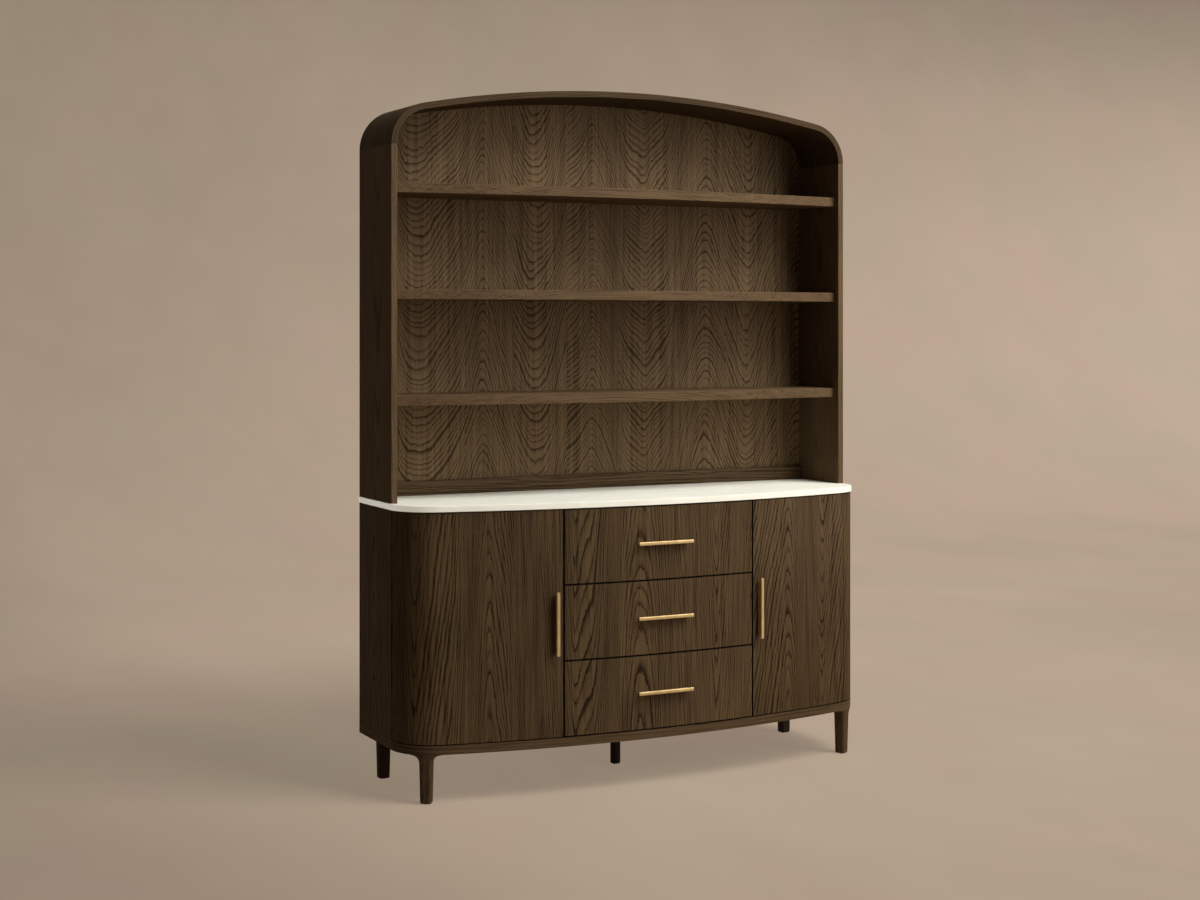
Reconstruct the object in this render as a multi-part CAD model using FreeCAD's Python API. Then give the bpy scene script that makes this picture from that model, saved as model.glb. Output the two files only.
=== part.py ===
import FreeCAD
import Part
import math
import os

# Dresser with hutch. A bow-fronted base stands on five legs and holds three drawers between two
# cupboards, whose bent doors wrap round the corners and turn on pins in their ends. A stone top
# covers it and carries an open hutch with three bowed shelves under an arched top.
#
# Millimetres. X runs across the width with left negative, the front faces -Y and Z is up. The
# origin is on the floor, in the middle of the whole object's plan. Depths are measured from the
# rear plane towards the front.

Vector = FreeCAD.Vector

# Plan of the base
BASE_WIDTH = 1750.0
SIDE_DEPTH = 302.0           # rear plane to where the corner starts to turn
CORNER_RADIUS = 145.0
FRONT_BOW = 86.0             # crown of the front ahead of the corner arcs' reach
FRONT_GAP = 3.0              # air round each door and drawer front
DOOR_THICKNESS = 20.0
DOOR_REST = 2.0              # air between a shut door and the panels behind it

# Legs and plinth
PAD_THICKNESS = 2.0
PAD_WIDTH = 18.0
LEG_HEIGHT = 156.0
LEG_TOP_WIDTH = 43.0
LEG_FOOT_WIDTH = 38.0
LEG_CORNER = 11.0
LEG_FOOT_EDGE = 4.0
FLARE_RADIUS = 26.0          # hollow bracket between the leg and the plinth
FLARE_LIP = 2.0
FRONT_LEG_ANGLE = 58.0       # degrees round the corner from straight sideways
REAR_LEG_INSET = 56.0        # side of the base to the rear leg's side
CENTER_LEG_DEPTH = 185.0
CENTER_LEG_DIAMETER = 35.0
LEG_TENON_WIDTH = 18.0
LEG_TENON_IN_LEG = 36.0
LEG_TENON_IN_PLINTH = 24.0
PLINTH_HEIGHT = 30.0
PLINTH_RAIL_WIDTH = 60.0

# Carcass
PANEL_THICKNESS = 20.0
BACK_THICKNESS = 12.0
BACK_SETBACK = 8.0
GROOVE_DEPTH = 8.0
STONE_THICKNESS = 20.0
STONE_OVERHANG = 4.0
STONE_EDGE = 2.0
CUPBOARD_SHELF_THICKNESS = 18.0
CUPBOARD_SHELF_LIFT = 340.0  # bottom panel to the shelf's underside
CUPBOARD_SHELF_SETBACK = 30.0
CUPBOARD_SHELF_PLAY = 1.0
BATTEN_WIDTH = 18.0
BATTEN_HEIGHT = 22.0
BATTEN_LENGTH = 230.0

# Doors
PIVOT_PIN_DIAMETER = 8.0
PIVOT_PIN_REACH = 12.0       # into the door's edge
PIVOT_PLATE_THICKNESS = 2.5
PIVOT_PLATE_WIDTH = 17.0
PIVOT_PLATE_CORNER = 5.0
PIVOT_PLATE_LENGTH = 70.0
BUSH_WIDTH = 12.0
BUSH_LENGTH = 14.0
CATCH_WIDTH = 44.0
CATCH_DEPTH = 18.0
CATCH_HEIGHT = 13.0
CATCH_GAP = 0.4
STRIKE_THICKNESS = 1.5
STRIKE_WIDTH = 36.0
DOOR_PULL_INSET = 24.0       # free edge of the door to the pull's centre line
FACE_EDGE = 0.8              # eased edge round doors and drawer fronts

# Drawers
DRAWER_FRONT_WIDTH = 714.0
DRAWER_FRONT_HEIGHT = 244.0
DRAWER_FRONT_THICKNESS = 20.0
DRAWER_NAMES = ("lower", "middle", "upper")
DRAWER_BOX_HEIGHT = 170.0
DRAWER_BOX_LIFT = 22.0       # bottom edge of the front to the bottom edge of the box
DRAWER_WALL = 15.0
DRAWER_REAR_AIR = 40.0
DRAWER_BOTTOM_THICKNESS = 6.0
DRAWER_BOTTOM_LIFT = 12.0
DRAWER_GROOVE = 6.0
RUNNER_SPACE = 13.0          # divider to drawer box
RUNNER_LENGTH = 400.0
RUNNER_LIFT = 62.0           # bottom edge of the box to the runner's centre line
RUNNER_FRONT_AIR = 6.0
CHANNEL_HEIGHT = 35.0
CHANNEL_WIDTH = 10.0
CHANNEL_LIP = 4.0
RAIL_HEIGHT = 22.0
RUNNER_WALL = 1.5
RUNNER_CLEARANCE = 0.3

# Pulls
PULL_LENGTH = 206.0
PULL_WIDTH = 11.0
PULL_THICKNESS = 7.0
PULL_ROUNDING = 3.0
PULL_PROJECTION = 24.0
PULL_WEB = 5.0
PULL_WEB_SETBACK = 10.0

# Hutch
HUTCH_DEPTH = 301.0
HUTCH_THICKNESS = 21.0
HUTCH_EDGE = 1.2
BAY_HEIGHT = 314.0
SHELF_THICKNESS = 33.0
SHELF_NAMES = ("lower", "middle", "upper")
SHELF_SETBACK = 26.0         # front edge of the side to the shelf's front at its ends
SHELF_BOW = 76.0
SHELF_EDGE = 2.0
SEAM_LIFT = 123.0            # top shelf to the joint between side and arch
ARCH_CORNER_RADIUS = 140.0
ARCH_BOW = 71.0              # crown of the arch above its corner arcs' reach
HUTCH_BACK_THICKNESS = 16.0
HUTCH_BACK_SETBACK = 24.0
BACK_RAIL_HEIGHT = 48.0
BACK_RAIL_THICKNESS = 20.0
TENON_THICKNESS = 8.0
TENON_WIDTH = 40.0
TENON_IN_SIDE = 11.0
TENON_IN_END = 22.0
TENON_IN_STONE = 12.0
TENON_DEPTHS = (95.0, 220.0)
HUTCH_BOLT_DIAMETER = 6.0
HUTCH_BOLT_HEAD = 14.0
HUTCH_BOLT_HEAD_THICKNESS = 4.0
HUTCH_BOLT_IN_RAIL = 28.0
HUTCH_BOLT_INSET = 120.0     # from the divider

# Clearances
PIVOT_CLEARANCE = 0.05       # radial, pin in bush
HOLE_CLEARANCE = 0.1         # radial, fasteners and bushes in their holes
RECESS_CLEARANCE = 0.2
GLUE_LINE = 0.1              # between curved faces that are joined


class BowedEnd:
    """Straight sides closed by two corner arcs and one long bow, each tangent to the next.

    Points are (across, along): across the width, and along the sides towards the bow. An inset
    is measured inwards from the outline and keeps the centres of the arcs.
    """

    def __init__(self, half_width, spring, corner_radius, rise):
        self.half_width = half_width
        self.spring = spring
        self.corner_radius = corner_radius
        self.corner_across = half_width - corner_radius
        fall = (self.corner_across ** 2 - rise ** 2) / (2 * rise)
        self.bow_radius = corner_radius + rise + fall
        self.bow_center = spring - fall
        self.tangent_angle = math.degrees(math.atan2(fall, self.corner_across))

    def bow(self, across, inset=0.0):
        """How far along the bow lies at a distance across."""
        return self.bow_center + math.sqrt((self.bow_radius - inset) ** 2 - across ** 2)

    def tangent_across(self, inset=0.0):
        """Distance across at which the bow meets the corner arc."""
        return (self.bow_radius - inset) * math.cos(math.radians(self.tangent_angle))

    def corner(self, side, angle, inset=0.0):
        """Point of a corner arc, with the angle in degrees from straight sideways."""
        radius = self.corner_radius - inset
        across = self.corner_across + radius * math.cos(math.radians(angle))
        return side * across, self.spring + radius * math.sin(math.radians(angle))

    def inset_of(self, across, along):
        """How far a point lies inside the outline."""
        if along <= self.spring:
            return self.half_width - abs(across)
        beyond = abs(across) - self.corner_across
        if beyond > 0 and math.degrees(math.atan2(along - self.spring, beyond)) < self.tangent_angle:
            return self.corner_radius - math.hypot(beyond, along - self.spring)
        return self.bow_radius - math.hypot(across, along - self.bow_center)


# Levels
PLINTH_BOTTOM = PAD_THICKNESS + LEG_HEIGHT
PLINTH_TOP = PLINTH_BOTTOM + PLINTH_HEIGHT
DRAWER_PITCH = DRAWER_FRONT_HEIGHT + FRONT_GAP
CARCASS_TOP = PLINTH_TOP + FRONT_GAP + len(DRAWER_NAMES) * DRAWER_PITCH
INSIDE_BOTTOM = PLINTH_TOP + PANEL_THICKNESS
INSIDE_TOP = CARCASS_TOP - PANEL_THICKNESS
STONE_TOP = CARCASS_TOP + STONE_THICKNESS
DOOR_BOTTOM = PLINTH_TOP + FRONT_GAP
DOOR_TOP = CARCASS_TOP - FRONT_GAP
SHELF_PITCH = BAY_HEIGHT + SHELF_THICKNESS
SEAM_Z = STONE_TOP + len(SHELF_NAMES) * SHELF_PITCH + SEAM_LIFT

# Widths and depths
HALF_WIDTH = BASE_WIDTH / 2
SIDE_THICKNESS = DOOR_THICKNESS + DOOR_REST
INSIDE_X = HALF_WIDTH - SIDE_THICKNESS
HUTCH_INSIDE_X = HALF_WIDTH - HUTCH_THICKNESS
DIVIDER_X = (DRAWER_FRONT_WIDTH + FRONT_GAP) / 2
DOOR_EDGE_X = DRAWER_FRONT_WIDTH / 2 + FRONT_GAP
DRAWER_SPACE_X = DIVIDER_X - PANEL_THICKNESS / 2
DRAWER_BOX_X = DRAWER_SPACE_X - RUNNER_SPACE
SIDE_FRONT = SIDE_DEPTH - FRONT_GAP / 2
BACK_FRONT = BACK_SETBACK + BACK_THICKNESS
HUTCH_BACK_FRONT = HUTCH_BACK_SETBACK + HUTCH_BACK_THICKNESS
SIDES = {"left": -1, "right": 1}

BASE = BowedEnd(HALF_WIDTH, SIDE_DEPTH, CORNER_RADIUS, FRONT_BOW)
ARCH = BowedEnd(HALF_WIDTH, SEAM_Z, ARCH_CORNER_RADIUS, ARCH_BOW)
REAR_Y = (BASE.bow(0) + PULL_PROJECTION) / 2
REACH = 2 * BASE.bow(0)      # longer than anything that is trimmed

# Pivot of a door: the pin stands in the middle of the door's thickness, so that the rounded end
# of the door turns on the spot.
PIVOT_ANGLE = math.degrees(
    math.asin((FRONT_GAP + DOOR_THICKNESS) / 2 / (CORNER_RADIUS - DOOR_THICKNESS / 2)))


def plan(across, along, z=0.0):
    """Point of a plan figure."""
    return Vector(across, REAR_Y - along, z)


def elevation(across, along):
    """Point of a front view figure in the rear plane."""
    return Vector(across, REAR_Y, along)


def arc(place, points):
    first, middle, last = (place(*point) for point in points)
    return Part.Arc(first, middle, last).toShape()


def line(place, first, last):
    return Part.makeLine(place(*first), place(*last))


def bow_arc(form, place, start, end, inset):
    """Stretch of the bow between two distances across."""
    return arc(place, [(x, form.bow(x, inset)) for x in (start, (start + end) / 2, end)])


def corner_arc(form, place, side, start, end, inset):
    """Stretch of a corner arc between two angles."""
    return arc(place, [form.corner(side, a, inset) for a in (start, (start + end) / 2, end)])


def wrap(form, place, inset):
    """Corner arc, bow and corner arc, from one side to the other."""
    across = form.tangent_across(inset)
    angle = form.tangent_angle
    return [
        corner_arc(form, place, -1, 0, angle, inset),
        bow_arc(form, place, -across, across, inset),
        corner_arc(form, place, 1, angle, 0, inset),
    ]


def extruded(edges, travel):
    """Solid made by moving the face inside a closed ring of edges."""
    return Part.Face(Part.Wire(Part.__sortEdges__(edges))).extrude(travel)


def outline(form, place, inset, start, travel):
    """Solid with the full bowed outline, from the line at start to the bow."""
    x = form.half_width - inset
    corners = [(-x, form.spring), (-x, start), (x, start), (x, form.spring)]
    straight = [line(place, a, b) for a, b in zip(corners, corners[1:])]
    return extruded(wrap(form, place, inset) + straight, travel)


def band(form, place, outer, inner, travel):
    """Solid strip between two insets, round both corners and the bow."""
    ends = [
        line(place, *((side * (form.half_width - inset), form.spring) for inset in (outer, inner)))
        for side in SIDES.values()
    ]
    return extruded(wrap(form, place, outer) + wrap(form, place, inner) + ends, travel)


def slab(inset, bottom, top, rear=0.0):
    """Level slab with the plan of the base."""
    solid = outline(BASE, plan, inset, rear, Vector(0, 0, top - bottom))
    return moved(solid, Vector(0, 0, bottom))


def bow_panel(x0, x1, outer, inner, bottom, top):
    """Upright panel that follows the bow of the front between two insets."""
    edges = [
        bow_arc(BASE, plan, x0, x1, outer),
        bow_arc(BASE, plan, x0, x1, inner),
    ]
    for x in (x0, x1):
        edges.append(line(plan, (x, BASE.bow(x, outer)), (x, BASE.bow(x, inner))))
    return moved(extruded(edges, Vector(0, 0, top - bottom)), Vector(0, 0, bottom))


def moved(shape, travel):
    copy = shape.copy()
    copy.translate(travel)
    return copy


def turned(shape, center, axis, angle):
    copy = shape.copy()
    copy.rotate(center, axis, angle)
    return copy


def mirrored(shape):
    """The same piece for the other side."""
    return shape.mirror(Vector(0, 0, 0), Vector(1, 0, 0))


def on_side(shape, side):
    """A piece drawn for the left, placed on either side."""
    return shape if side < 0 else mirrored(shape)


def block(x0, x1, rear, front, bottom, top):
    """Box between two X, two depths and two levels."""
    return Part.makeBox(
        abs(x1 - x0), front - rear, top - bottom, plan(min(x0, x1), front, bottom))


def peg(x, depth, bottom, top, diameter):
    """Upright cylinder."""
    return Part.makeCylinder(diameter / 2, top - bottom, plan(x, depth, bottom))


def section(points, rear, front):
    """Prism of a closed (x, z) section, from one depth to another."""
    ring = [plan(x, rear, z) for x, z in points]
    face = Part.Face(Part.makePolygon(ring + ring[:1]))
    return face.extrude(Vector(0, rear - front, 0))


def eased(shape, width, wanted):
    """The shape with the sharpness taken off the wanted edges."""
    return shape.makeChamfer(width, [edge for edge in shape.Edges if wanted(edge)])


def is_level(edge, z):
    box = edge.BoundBox
    return abs(box.ZMin - z) < 0.01 and abs(box.ZMax - z) < 0.01


def is_on_front(edge, depth):
    box = edge.BoundBox
    y = REAR_Y - depth
    return abs(box.YMin - y) < 0.01 and abs(box.YMax - y) < 0.01


def is_on_face(edge):
    """Whether an edge lies in the outer face of the doors and drawer fronts."""
    ends = [edge.valueAt(edge.FirstParameter), edge.valueAt(edge.LastParameter)]
    ends.append(edge.valueAt((edge.FirstParameter + edge.LastParameter) / 2))
    return all(abs(BASE.inset_of(p.x, REAR_Y - p.y)) < 0.01 for p in ends)


# Legs and plinth


def tapered_post():
    """Square post with round corners and an eased foot, wider at its top, about the Z axis."""
    foot, top = LEG_FOOT_WIDTH / 2, LEG_TOP_WIDTH / 2
    post = Part.makeWedge(-foot, 0, -foot, -top, -top, foot, LEG_HEIGHT, foot, top, top)
    post.rotate(Vector(0, 0, 0), Vector(1, 0, 0), 90)
    post.translate(Vector(0, 0, PAD_THICKNESS))
    post = eased(post, LEG_FOOT_EDGE, lambda e: is_level(e, PAD_THICKNESS))
    return post.makeFillet(LEG_CORNER, [e for e in post.Edges if e.BoundBox.ZLength > LEG_HEIGHT / 2])


def square_leg():
    """Tapered leg with a hollow bracket either side of its top, about the Z axis, facing -Y."""
    far = LEG_TOP_WIDTH / 2 + FLARE_RADIUS
    lip = PLINTH_BOTTOM - FLARE_LIP
    bulge = FLARE_RADIUS * (1 - math.sqrt(0.5))

    def upright(x, z):
        return Vector(x, -LEG_TOP_WIDTH / 2, z)

    hollow = [(far, lip), (LEG_TOP_WIDTH / 2 + bulge, lip - bulge), (LEG_TOP_WIDTH / 2, lip - FLARE_RADIUS)]
    corners = [hollow[2], (0, lip - FLARE_RADIUS), (0, PLINTH_BOTTOM), (far, PLINTH_BOTTOM), hollow[0]]
    edges = [line(upright, a, b) for a, b in zip(corners, corners[1:])]
    bracket = extruded([arc(upright, hollow)] + edges, Vector(0, LEG_TOP_WIDTH, 0))
    return tapered_post().fuse(bracket).fuse(mirrored(bracket)).removeSplitter()


def front_leg_place():
    """Across and along of the front leg's axis, whose outer face is flush with the plinth."""
    return BASE.corner(-1, FRONT_LEG_ANGLE, LEG_TOP_WIDTH / 2)


def rear_leg_place():
    return -(HALF_WIDTH - REAR_LEG_INSET - LEG_TOP_WIDTH / 2), LEG_TOP_WIDTH / 2


def leg_places():
    """Axes of all five legs."""
    places = [(0.0, CENTER_LEG_DEPTH)]
    for x, depth in (front_leg_place(), rear_leg_place()):
        places += [(x, depth), (-x, depth)]
    return places


def leg_tenon(x, depth, clearance=0.0):
    """Loose tenon that joins a leg to the plinth."""
    half = LEG_TENON_WIDTH / 2 + clearance
    return block(x - half, x + half, depth - half, depth + half,
                 PLINTH_BOTTOM - LEG_TENON_IN_LEG - clearance,
                 PLINTH_BOTTOM + LEG_TENON_IN_PLINTH + clearance)


def mortised(shape):
    """A leg or rail with the mortises of the leg tenons that reach it."""
    for x, depth in leg_places():
        shape = shape.cut(leg_tenon(x, depth, HOLE_CLEARANCE))
    return shape


def front_leg(side):
    leg = turned(square_leg(), Vector(0, 0, 0), Vector(0, 0, 1), FRONT_LEG_ANGLE - 90)
    x, depth = front_leg_place()
    leg = moved(leg, plan(x, depth)).common(slab(0, PAD_THICKNESS, PLINTH_BOTTOM))
    return mortised(on_side(leg, side))


def rear_leg(side):
    leg = turned(square_leg(), Vector(0, 0, 0), Vector(0, 0, 1), 180)
    x, depth = rear_leg_place()
    return mortised(on_side(moved(leg, plan(x, depth)), side))


def center_leg():
    """Plain round leg under the middle stretcher."""
    post = peg(0, CENTER_LEG_DEPTH, PAD_THICKNESS, PLINTH_BOTTOM, CENTER_LEG_DIAMETER)
    return mortised(eased(post, LEG_FOOT_EDGE, lambda e: is_level(e, PAD_THICKNESS)))


def foot_pads():
    """Felt pads under the legs."""
    half = PAD_WIDTH / 2
    return Part.makeCompound([block(x - half, x + half, depth - half, depth + half, 0, PAD_THICKNESS)
                              for x, depth in leg_places()])


def leg_tenons():
    return Part.makeCompound([leg_tenon(x, depth) for x, depth in leg_places()])


def plinth_front_rail():
    rail = band(BASE, plan, 0, PLINTH_RAIL_WIDTH, Vector(0, 0, PLINTH_HEIGHT))
    return mortised(moved(rail, Vector(0, 0, PLINTH_BOTTOM)))


def plinth_side_rail(side):
    rail = block(-HALF_WIDTH, PLINTH_RAIL_WIDTH - HALF_WIDTH, PLINTH_RAIL_WIDTH, SIDE_DEPTH,
                 PLINTH_BOTTOM, PLINTH_TOP)
    return on_side(rail, side)


def plinth_rear_rail():
    rail = block(-HALF_WIDTH, HALF_WIDTH, 0, PLINTH_RAIL_WIDTH, PLINTH_BOTTOM, PLINTH_TOP)
    return mortised(rail)


def plinth_stretchers():
    """Rails from back to front under the dividers and over the centre leg."""
    inside = slab(PLINTH_RAIL_WIDTH + GLUE_LINE, PLINTH_BOTTOM, PLINTH_TOP, PLINTH_RAIL_WIDTH)
    half = PLINTH_RAIL_WIDTH / 2
    rails = []
    for x in (-DIVIDER_X, 0.0, DIVIDER_X):
        rail = block(x - half, x + half, PLINTH_RAIL_WIDTH, REACH, PLINTH_BOTTOM, PLINTH_TOP)
        rails.append(mortised(rail.common(inside)))
    return Part.makeCompound(rails)


# Carcass


def base_back_panel():
    """Panel that sits in grooves of the sides, the bottom and the sub-top."""
    x = INSIDE_X + GROOVE_DEPTH
    return block(-x, x, BACK_SETBACK, BACK_FRONT, INSIDE_BOTTOM - GROOVE_DEPTH, INSIDE_TOP + GROOVE_DEPTH)


def base_side(side):
    panel = block(-HALF_WIDTH, -INSIDE_X, 0, SIDE_FRONT, PLINTH_TOP, CARCASS_TOP)
    panel = eased(
        panel, FACE_EDGE, lambda e: is_on_front(e, SIDE_FRONT) and e.BoundBox.XMax < -INSIDE_X - 1)
    return on_side(panel, side).cut(base_back_panel())


def base_bottom_panel():
    panel = slab(SIDE_THICKNESS, PLINTH_TOP, INSIDE_BOTTOM)
    return panel.cut(base_back_panel()).cut(pivot_plates(RECESS_CLEARANCE))


def base_sub_top():
    panel = slab(SIDE_THICKNESS, INSIDE_TOP, CARCASS_TOP)
    panel = panel.cut(base_back_panel()).cut(pivot_plates(RECESS_CLEARANCE))
    return panel.cut(hutch_bolts(HOLE_CLEARANCE))


def divider(side):
    x = DIVIDER_X + PANEL_THICKNESS / 2
    panel = block(-x, -DRAWER_SPACE_X, BACK_FRONT, REACH, INSIDE_BOTTOM, INSIDE_TOP)
    panel = panel.common(slab(SIDE_THICKNESS, INSIDE_BOTTOM, INSIDE_TOP))
    return on_side(panel, side)


def stone_top():
    """Stone slab that stands a little over the front and the sides."""
    stone = slab(-STONE_OVERHANG, CARCASS_TOP, STONE_TOP)
    stone = eased(stone, STONE_EDGE, lambda e: is_level(e, CARCASS_TOP) or is_level(e, STONE_TOP))
    return stone.cut(hutch_bolts(HOLE_CLEARANCE)).cut(hutch_tenons(HOLE_CLEARANCE))


def cupboard_shelf(side):
    """Loose shelf that lies on two battens."""
    bottom = INSIDE_BOTTOM + CUPBOARD_SHELF_LIFT
    top = bottom + CUPBOARD_SHELF_THICKNESS
    end = DIVIDER_X + PANEL_THICKNESS / 2 + CUPBOARD_SHELF_PLAY
    rear = BACK_FRONT + CUPBOARD_SHELF_PLAY
    shelf = block(CUPBOARD_SHELF_PLAY - INSIDE_X, -end, rear, REACH, bottom, top)
    return on_side(shelf.common(slab(SIDE_THICKNESS + CUPBOARD_SHELF_SETBACK, bottom, top)), side)


def shelf_battens():
    """Battens on the side panels and the dividers, under the ends of the cupboard shelves."""
    top = INSIDE_BOTTOM + CUPBOARD_SHELF_LIFT
    wall = DIVIDER_X + PANEL_THICKNESS / 2
    battens = []
    for x in (BATTEN_WIDTH - INSIDE_X, -wall):
        batten = block(x - BATTEN_WIDTH, x, BACK_FRONT, BACK_FRONT + BATTEN_LENGTH, top - BATTEN_HEIGHT, top)
        battens += [batten, mirrored(batten)]
    return Part.makeCompound(battens)


# Doors


def pivot_place():
    """Across and along of the left door's pins."""
    return BASE.corner(-1, PIVOT_ANGLE, DOOR_THICKNESS / 2)


def pivot_plate(clearance):
    """Flat arm with cut corners, level at Z = 0, from the carcass out to the left door's pin."""
    x, depth = pivot_place()
    half = PIVOT_PLATE_WIDTH / 2 + clearance
    thickness = PIVOT_PLATE_THICKNESS
    arm = block(x - half, x + PIVOT_PLATE_LENGTH + clearance, depth - half, depth + half, 0, thickness)
    return eased(arm, PIVOT_PLATE_CORNER, lambda e: e.BoundBox.XMax < x and e.BoundBox.ZLength > thickness / 2)


def pivot_plates(clearance=0.0):
    """Plates let into the bottom panel and the sub-top, each with its pin."""
    x, depth = pivot_place()
    lower = moved(pivot_plate(clearance), Vector(0, 0, PLINTH_TOP))
    lower = lower.fuse(peg(x, depth, PLINTH_TOP, DOOR_BOTTOM + PIVOT_PIN_REACH, PIVOT_PIN_DIAMETER))
    upper = moved(pivot_plate(clearance), Vector(0, 0, CARCASS_TOP - PIVOT_PLATE_THICKNESS))
    upper = upper.fuse(peg(x, depth, DOOR_TOP - PIVOT_PIN_REACH, CARCASS_TOP, PIVOT_PIN_DIAMETER))
    plates = [lower.removeSplitter(), upper.removeSplitter()]
    return Part.makeCompound(plates + [mirrored(plate) for plate in plates])


def bushes(clearance=0.0):
    """Both bushes of the left door as solid plugs, without their bores."""
    x, depth = pivot_place()
    half = BUSH_WIDTH / 2 + clearance
    spans = [(DOOR_BOTTOM, DOOR_BOTTOM + BUSH_LENGTH + clearance),
             (DOOR_TOP - BUSH_LENGTH - clearance, DOOR_TOP)]
    return [block(x - half, x + half, depth - half, depth + half, *span) for span in spans]


def door(side):
    """Bent door that follows the corner and the bow up to the drawers, round at its hinged end."""
    angle = BASE.tangent_angle
    tip_x, tip_along = pivot_place()
    tip_x -= math.sin(math.radians(PIVOT_ANGLE)) * DOOR_THICKNESS / 2
    tip_along -= math.cos(math.radians(PIVOT_ANGLE)) * DOOR_THICKNESS / 2
    edges = [
        arc(plan, [BASE.corner(-1, PIVOT_ANGLE), (tip_x, tip_along),
                   BASE.corner(-1, PIVOT_ANGLE, DOOR_THICKNESS)]),
        line(plan, (-DOOR_EDGE_X, BASE.bow(DOOR_EDGE_X)),
             (-DOOR_EDGE_X, BASE.bow(DOOR_EDGE_X, DOOR_THICKNESS))),
    ]
    for inset in (0.0, DOOR_THICKNESS):
        edges.append(corner_arc(BASE, plan, -1, PIVOT_ANGLE, angle, inset))
        edges.append(bow_arc(BASE, plan, -BASE.tangent_across(inset), -DOOR_EDGE_X, inset))
    panel = moved(extruded(edges, Vector(0, 0, DOOR_TOP - DOOR_BOTTOM)), Vector(0, 0, DOOR_BOTTOM))
    panel = eased(panel, FACE_EDGE, lambda e: is_on_face(e) and e.BoundBox.XMax > tip_x + DOOR_THICKNESS)
    for plug in bushes(HOLE_CLEARANCE):
        panel = panel.cut(plug)
    return on_side(panel, side)


def door_fittings(side):
    """Bushes for the pivot pins and the strike plate of the catch."""
    x, depth = pivot_place()
    bore = peg(x, depth, DOOR_BOTTOM, DOOR_TOP, PIVOT_PIN_DIAMETER + 2 * PIVOT_CLEARANCE)
    pieces = [plug.cut(bore) for plug in bushes()]
    margin = (CATCH_WIDTH - STRIKE_WIDTH) / 2
    start = catch_start() - margin
    pieces.append(bow_panel(start - STRIKE_WIDTH, start, DOOR_THICKNESS + GLUE_LINE,
                            DOOR_THICKNESS + GLUE_LINE + STRIKE_THICKNESS,
                            INSIDE_TOP - CATCH_HEIGHT, INSIDE_TOP))
    return Part.makeCompound([on_side(piece, side) for piece in pieces])


def catch_start():
    """X of the left catch's end nearest the divider."""
    return -(DIVIDER_X + PANEL_THICKNESS / 2 + CATCH_DEPTH)


def door_catches():
    """Magnetic catches under the sub-top."""
    front = slab(DOOR_THICKNESS + GLUE_LINE + STRIKE_THICKNESS + CATCH_GAP, 0, CARCASS_TOP)
    start = catch_start()
    depth = BASE.bow(start - CATCH_WIDTH, SIDE_THICKNESS) - CATCH_DEPTH
    catch = block(start - CATCH_WIDTH, start, depth, REACH, INSIDE_TOP - CATCH_HEIGHT, INSIDE_TOP)
    catch = catch.common(front)
    return Part.makeCompound([catch, mirrored(catch)])


# Pulls


def pull(z, upright):
    """Bar on a thin web, at the crown of the front."""
    front = BASE.bow(0) + PULL_PROJECTION
    half = PULL_LENGTH / 2
    bar = block(-half, half, front - PULL_THICKNESS, front, z - PULL_WIDTH / 2, z + PULL_WIDTH / 2)
    bar = bar.makeFillet(PULL_ROUNDING, [e for e in bar.Edges if e.BoundBox.XLength > half])
    half -= PULL_WEB_SETBACK
    rear = BASE.bow(half, DOOR_THICKNESS / 2)
    web = block(-half, half, rear, front - PULL_THICKNESS / 2, z - PULL_WEB / 2, z + PULL_WEB / 2)
    whole = bar.fuse(web)
    if upright:
        whole = turned(whole, plan(0, front, z), Vector(0, 1, 0), 90)
    return whole.cut(slab(-GLUE_LINE, 0, STONE_TOP)).removeSplitter()


def door_pull(side):
    """Upright pull, square to the bow near the door's free edge."""
    middle = (DOOR_BOTTOM + DOOR_TOP) / 2
    swing = math.degrees(math.asin((DOOR_EDGE_X + DOOR_PULL_INSET) / BASE.bow_radius))
    turn = turned(pull(middle, True), plan(0, BASE.bow_center), Vector(0, 0, 1), -swing)
    return on_side(turn, side)


# Drawers


def front_bottom(index):
    """Level of a drawer front's lower edge."""
    return DOOR_BOTTOM + index * DRAWER_PITCH


def drawer_bottom(index, clearance=0.0):
    """Thin panel held in grooves of the sides, the back and the front."""
    x = DRAWER_BOX_X - DRAWER_WALL + DRAWER_GROOVE + clearance
    bottom = front_bottom(index) + DRAWER_BOX_LIFT + DRAWER_BOTTOM_LIFT
    top = bottom + DRAWER_BOTTOM_THICKNESS
    rear = BACK_FRONT + DRAWER_REAR_AIR + DRAWER_WALL - DRAWER_GROOVE
    panel = block(-x, x, rear - clearance, REACH, bottom, top)
    return panel.common(slab(DRAWER_FRONT_THICKNESS - DRAWER_GROOVE - clearance, bottom, top))


def drawer_front(index):
    bottom = front_bottom(index)
    x = DRAWER_FRONT_WIDTH / 2
    panel = bow_panel(-x, x, 0, DRAWER_FRONT_THICKNESS, bottom, bottom + DRAWER_FRONT_HEIGHT)
    return eased(panel, FACE_EDGE, is_on_face).cut(drawer_bottom(index, GLUE_LINE))


def drawer_sides(index):
    bottom = front_bottom(index) + DRAWER_BOX_LIFT
    top = bottom + DRAWER_BOX_HEIGHT
    rear = BACK_FRONT + DRAWER_REAR_AIR
    side = block(-DRAWER_BOX_X, DRAWER_WALL - DRAWER_BOX_X, rear, REACH, bottom, top)
    side = side.common(slab(DRAWER_FRONT_THICKNESS + GLUE_LINE, bottom, top))
    side = side.cut(drawer_bottom(index))
    return Part.makeCompound([side, mirrored(side)])


def drawer_back(index):
    bottom = front_bottom(index) + DRAWER_BOX_LIFT
    x = DRAWER_BOX_X - DRAWER_WALL
    rear = BACK_FRONT + DRAWER_REAR_AIR
    board = block(-x, x, rear, rear + DRAWER_WALL, bottom, bottom + DRAWER_BOX_HEIGHT)
    return board.cut(drawer_bottom(index))


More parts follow.
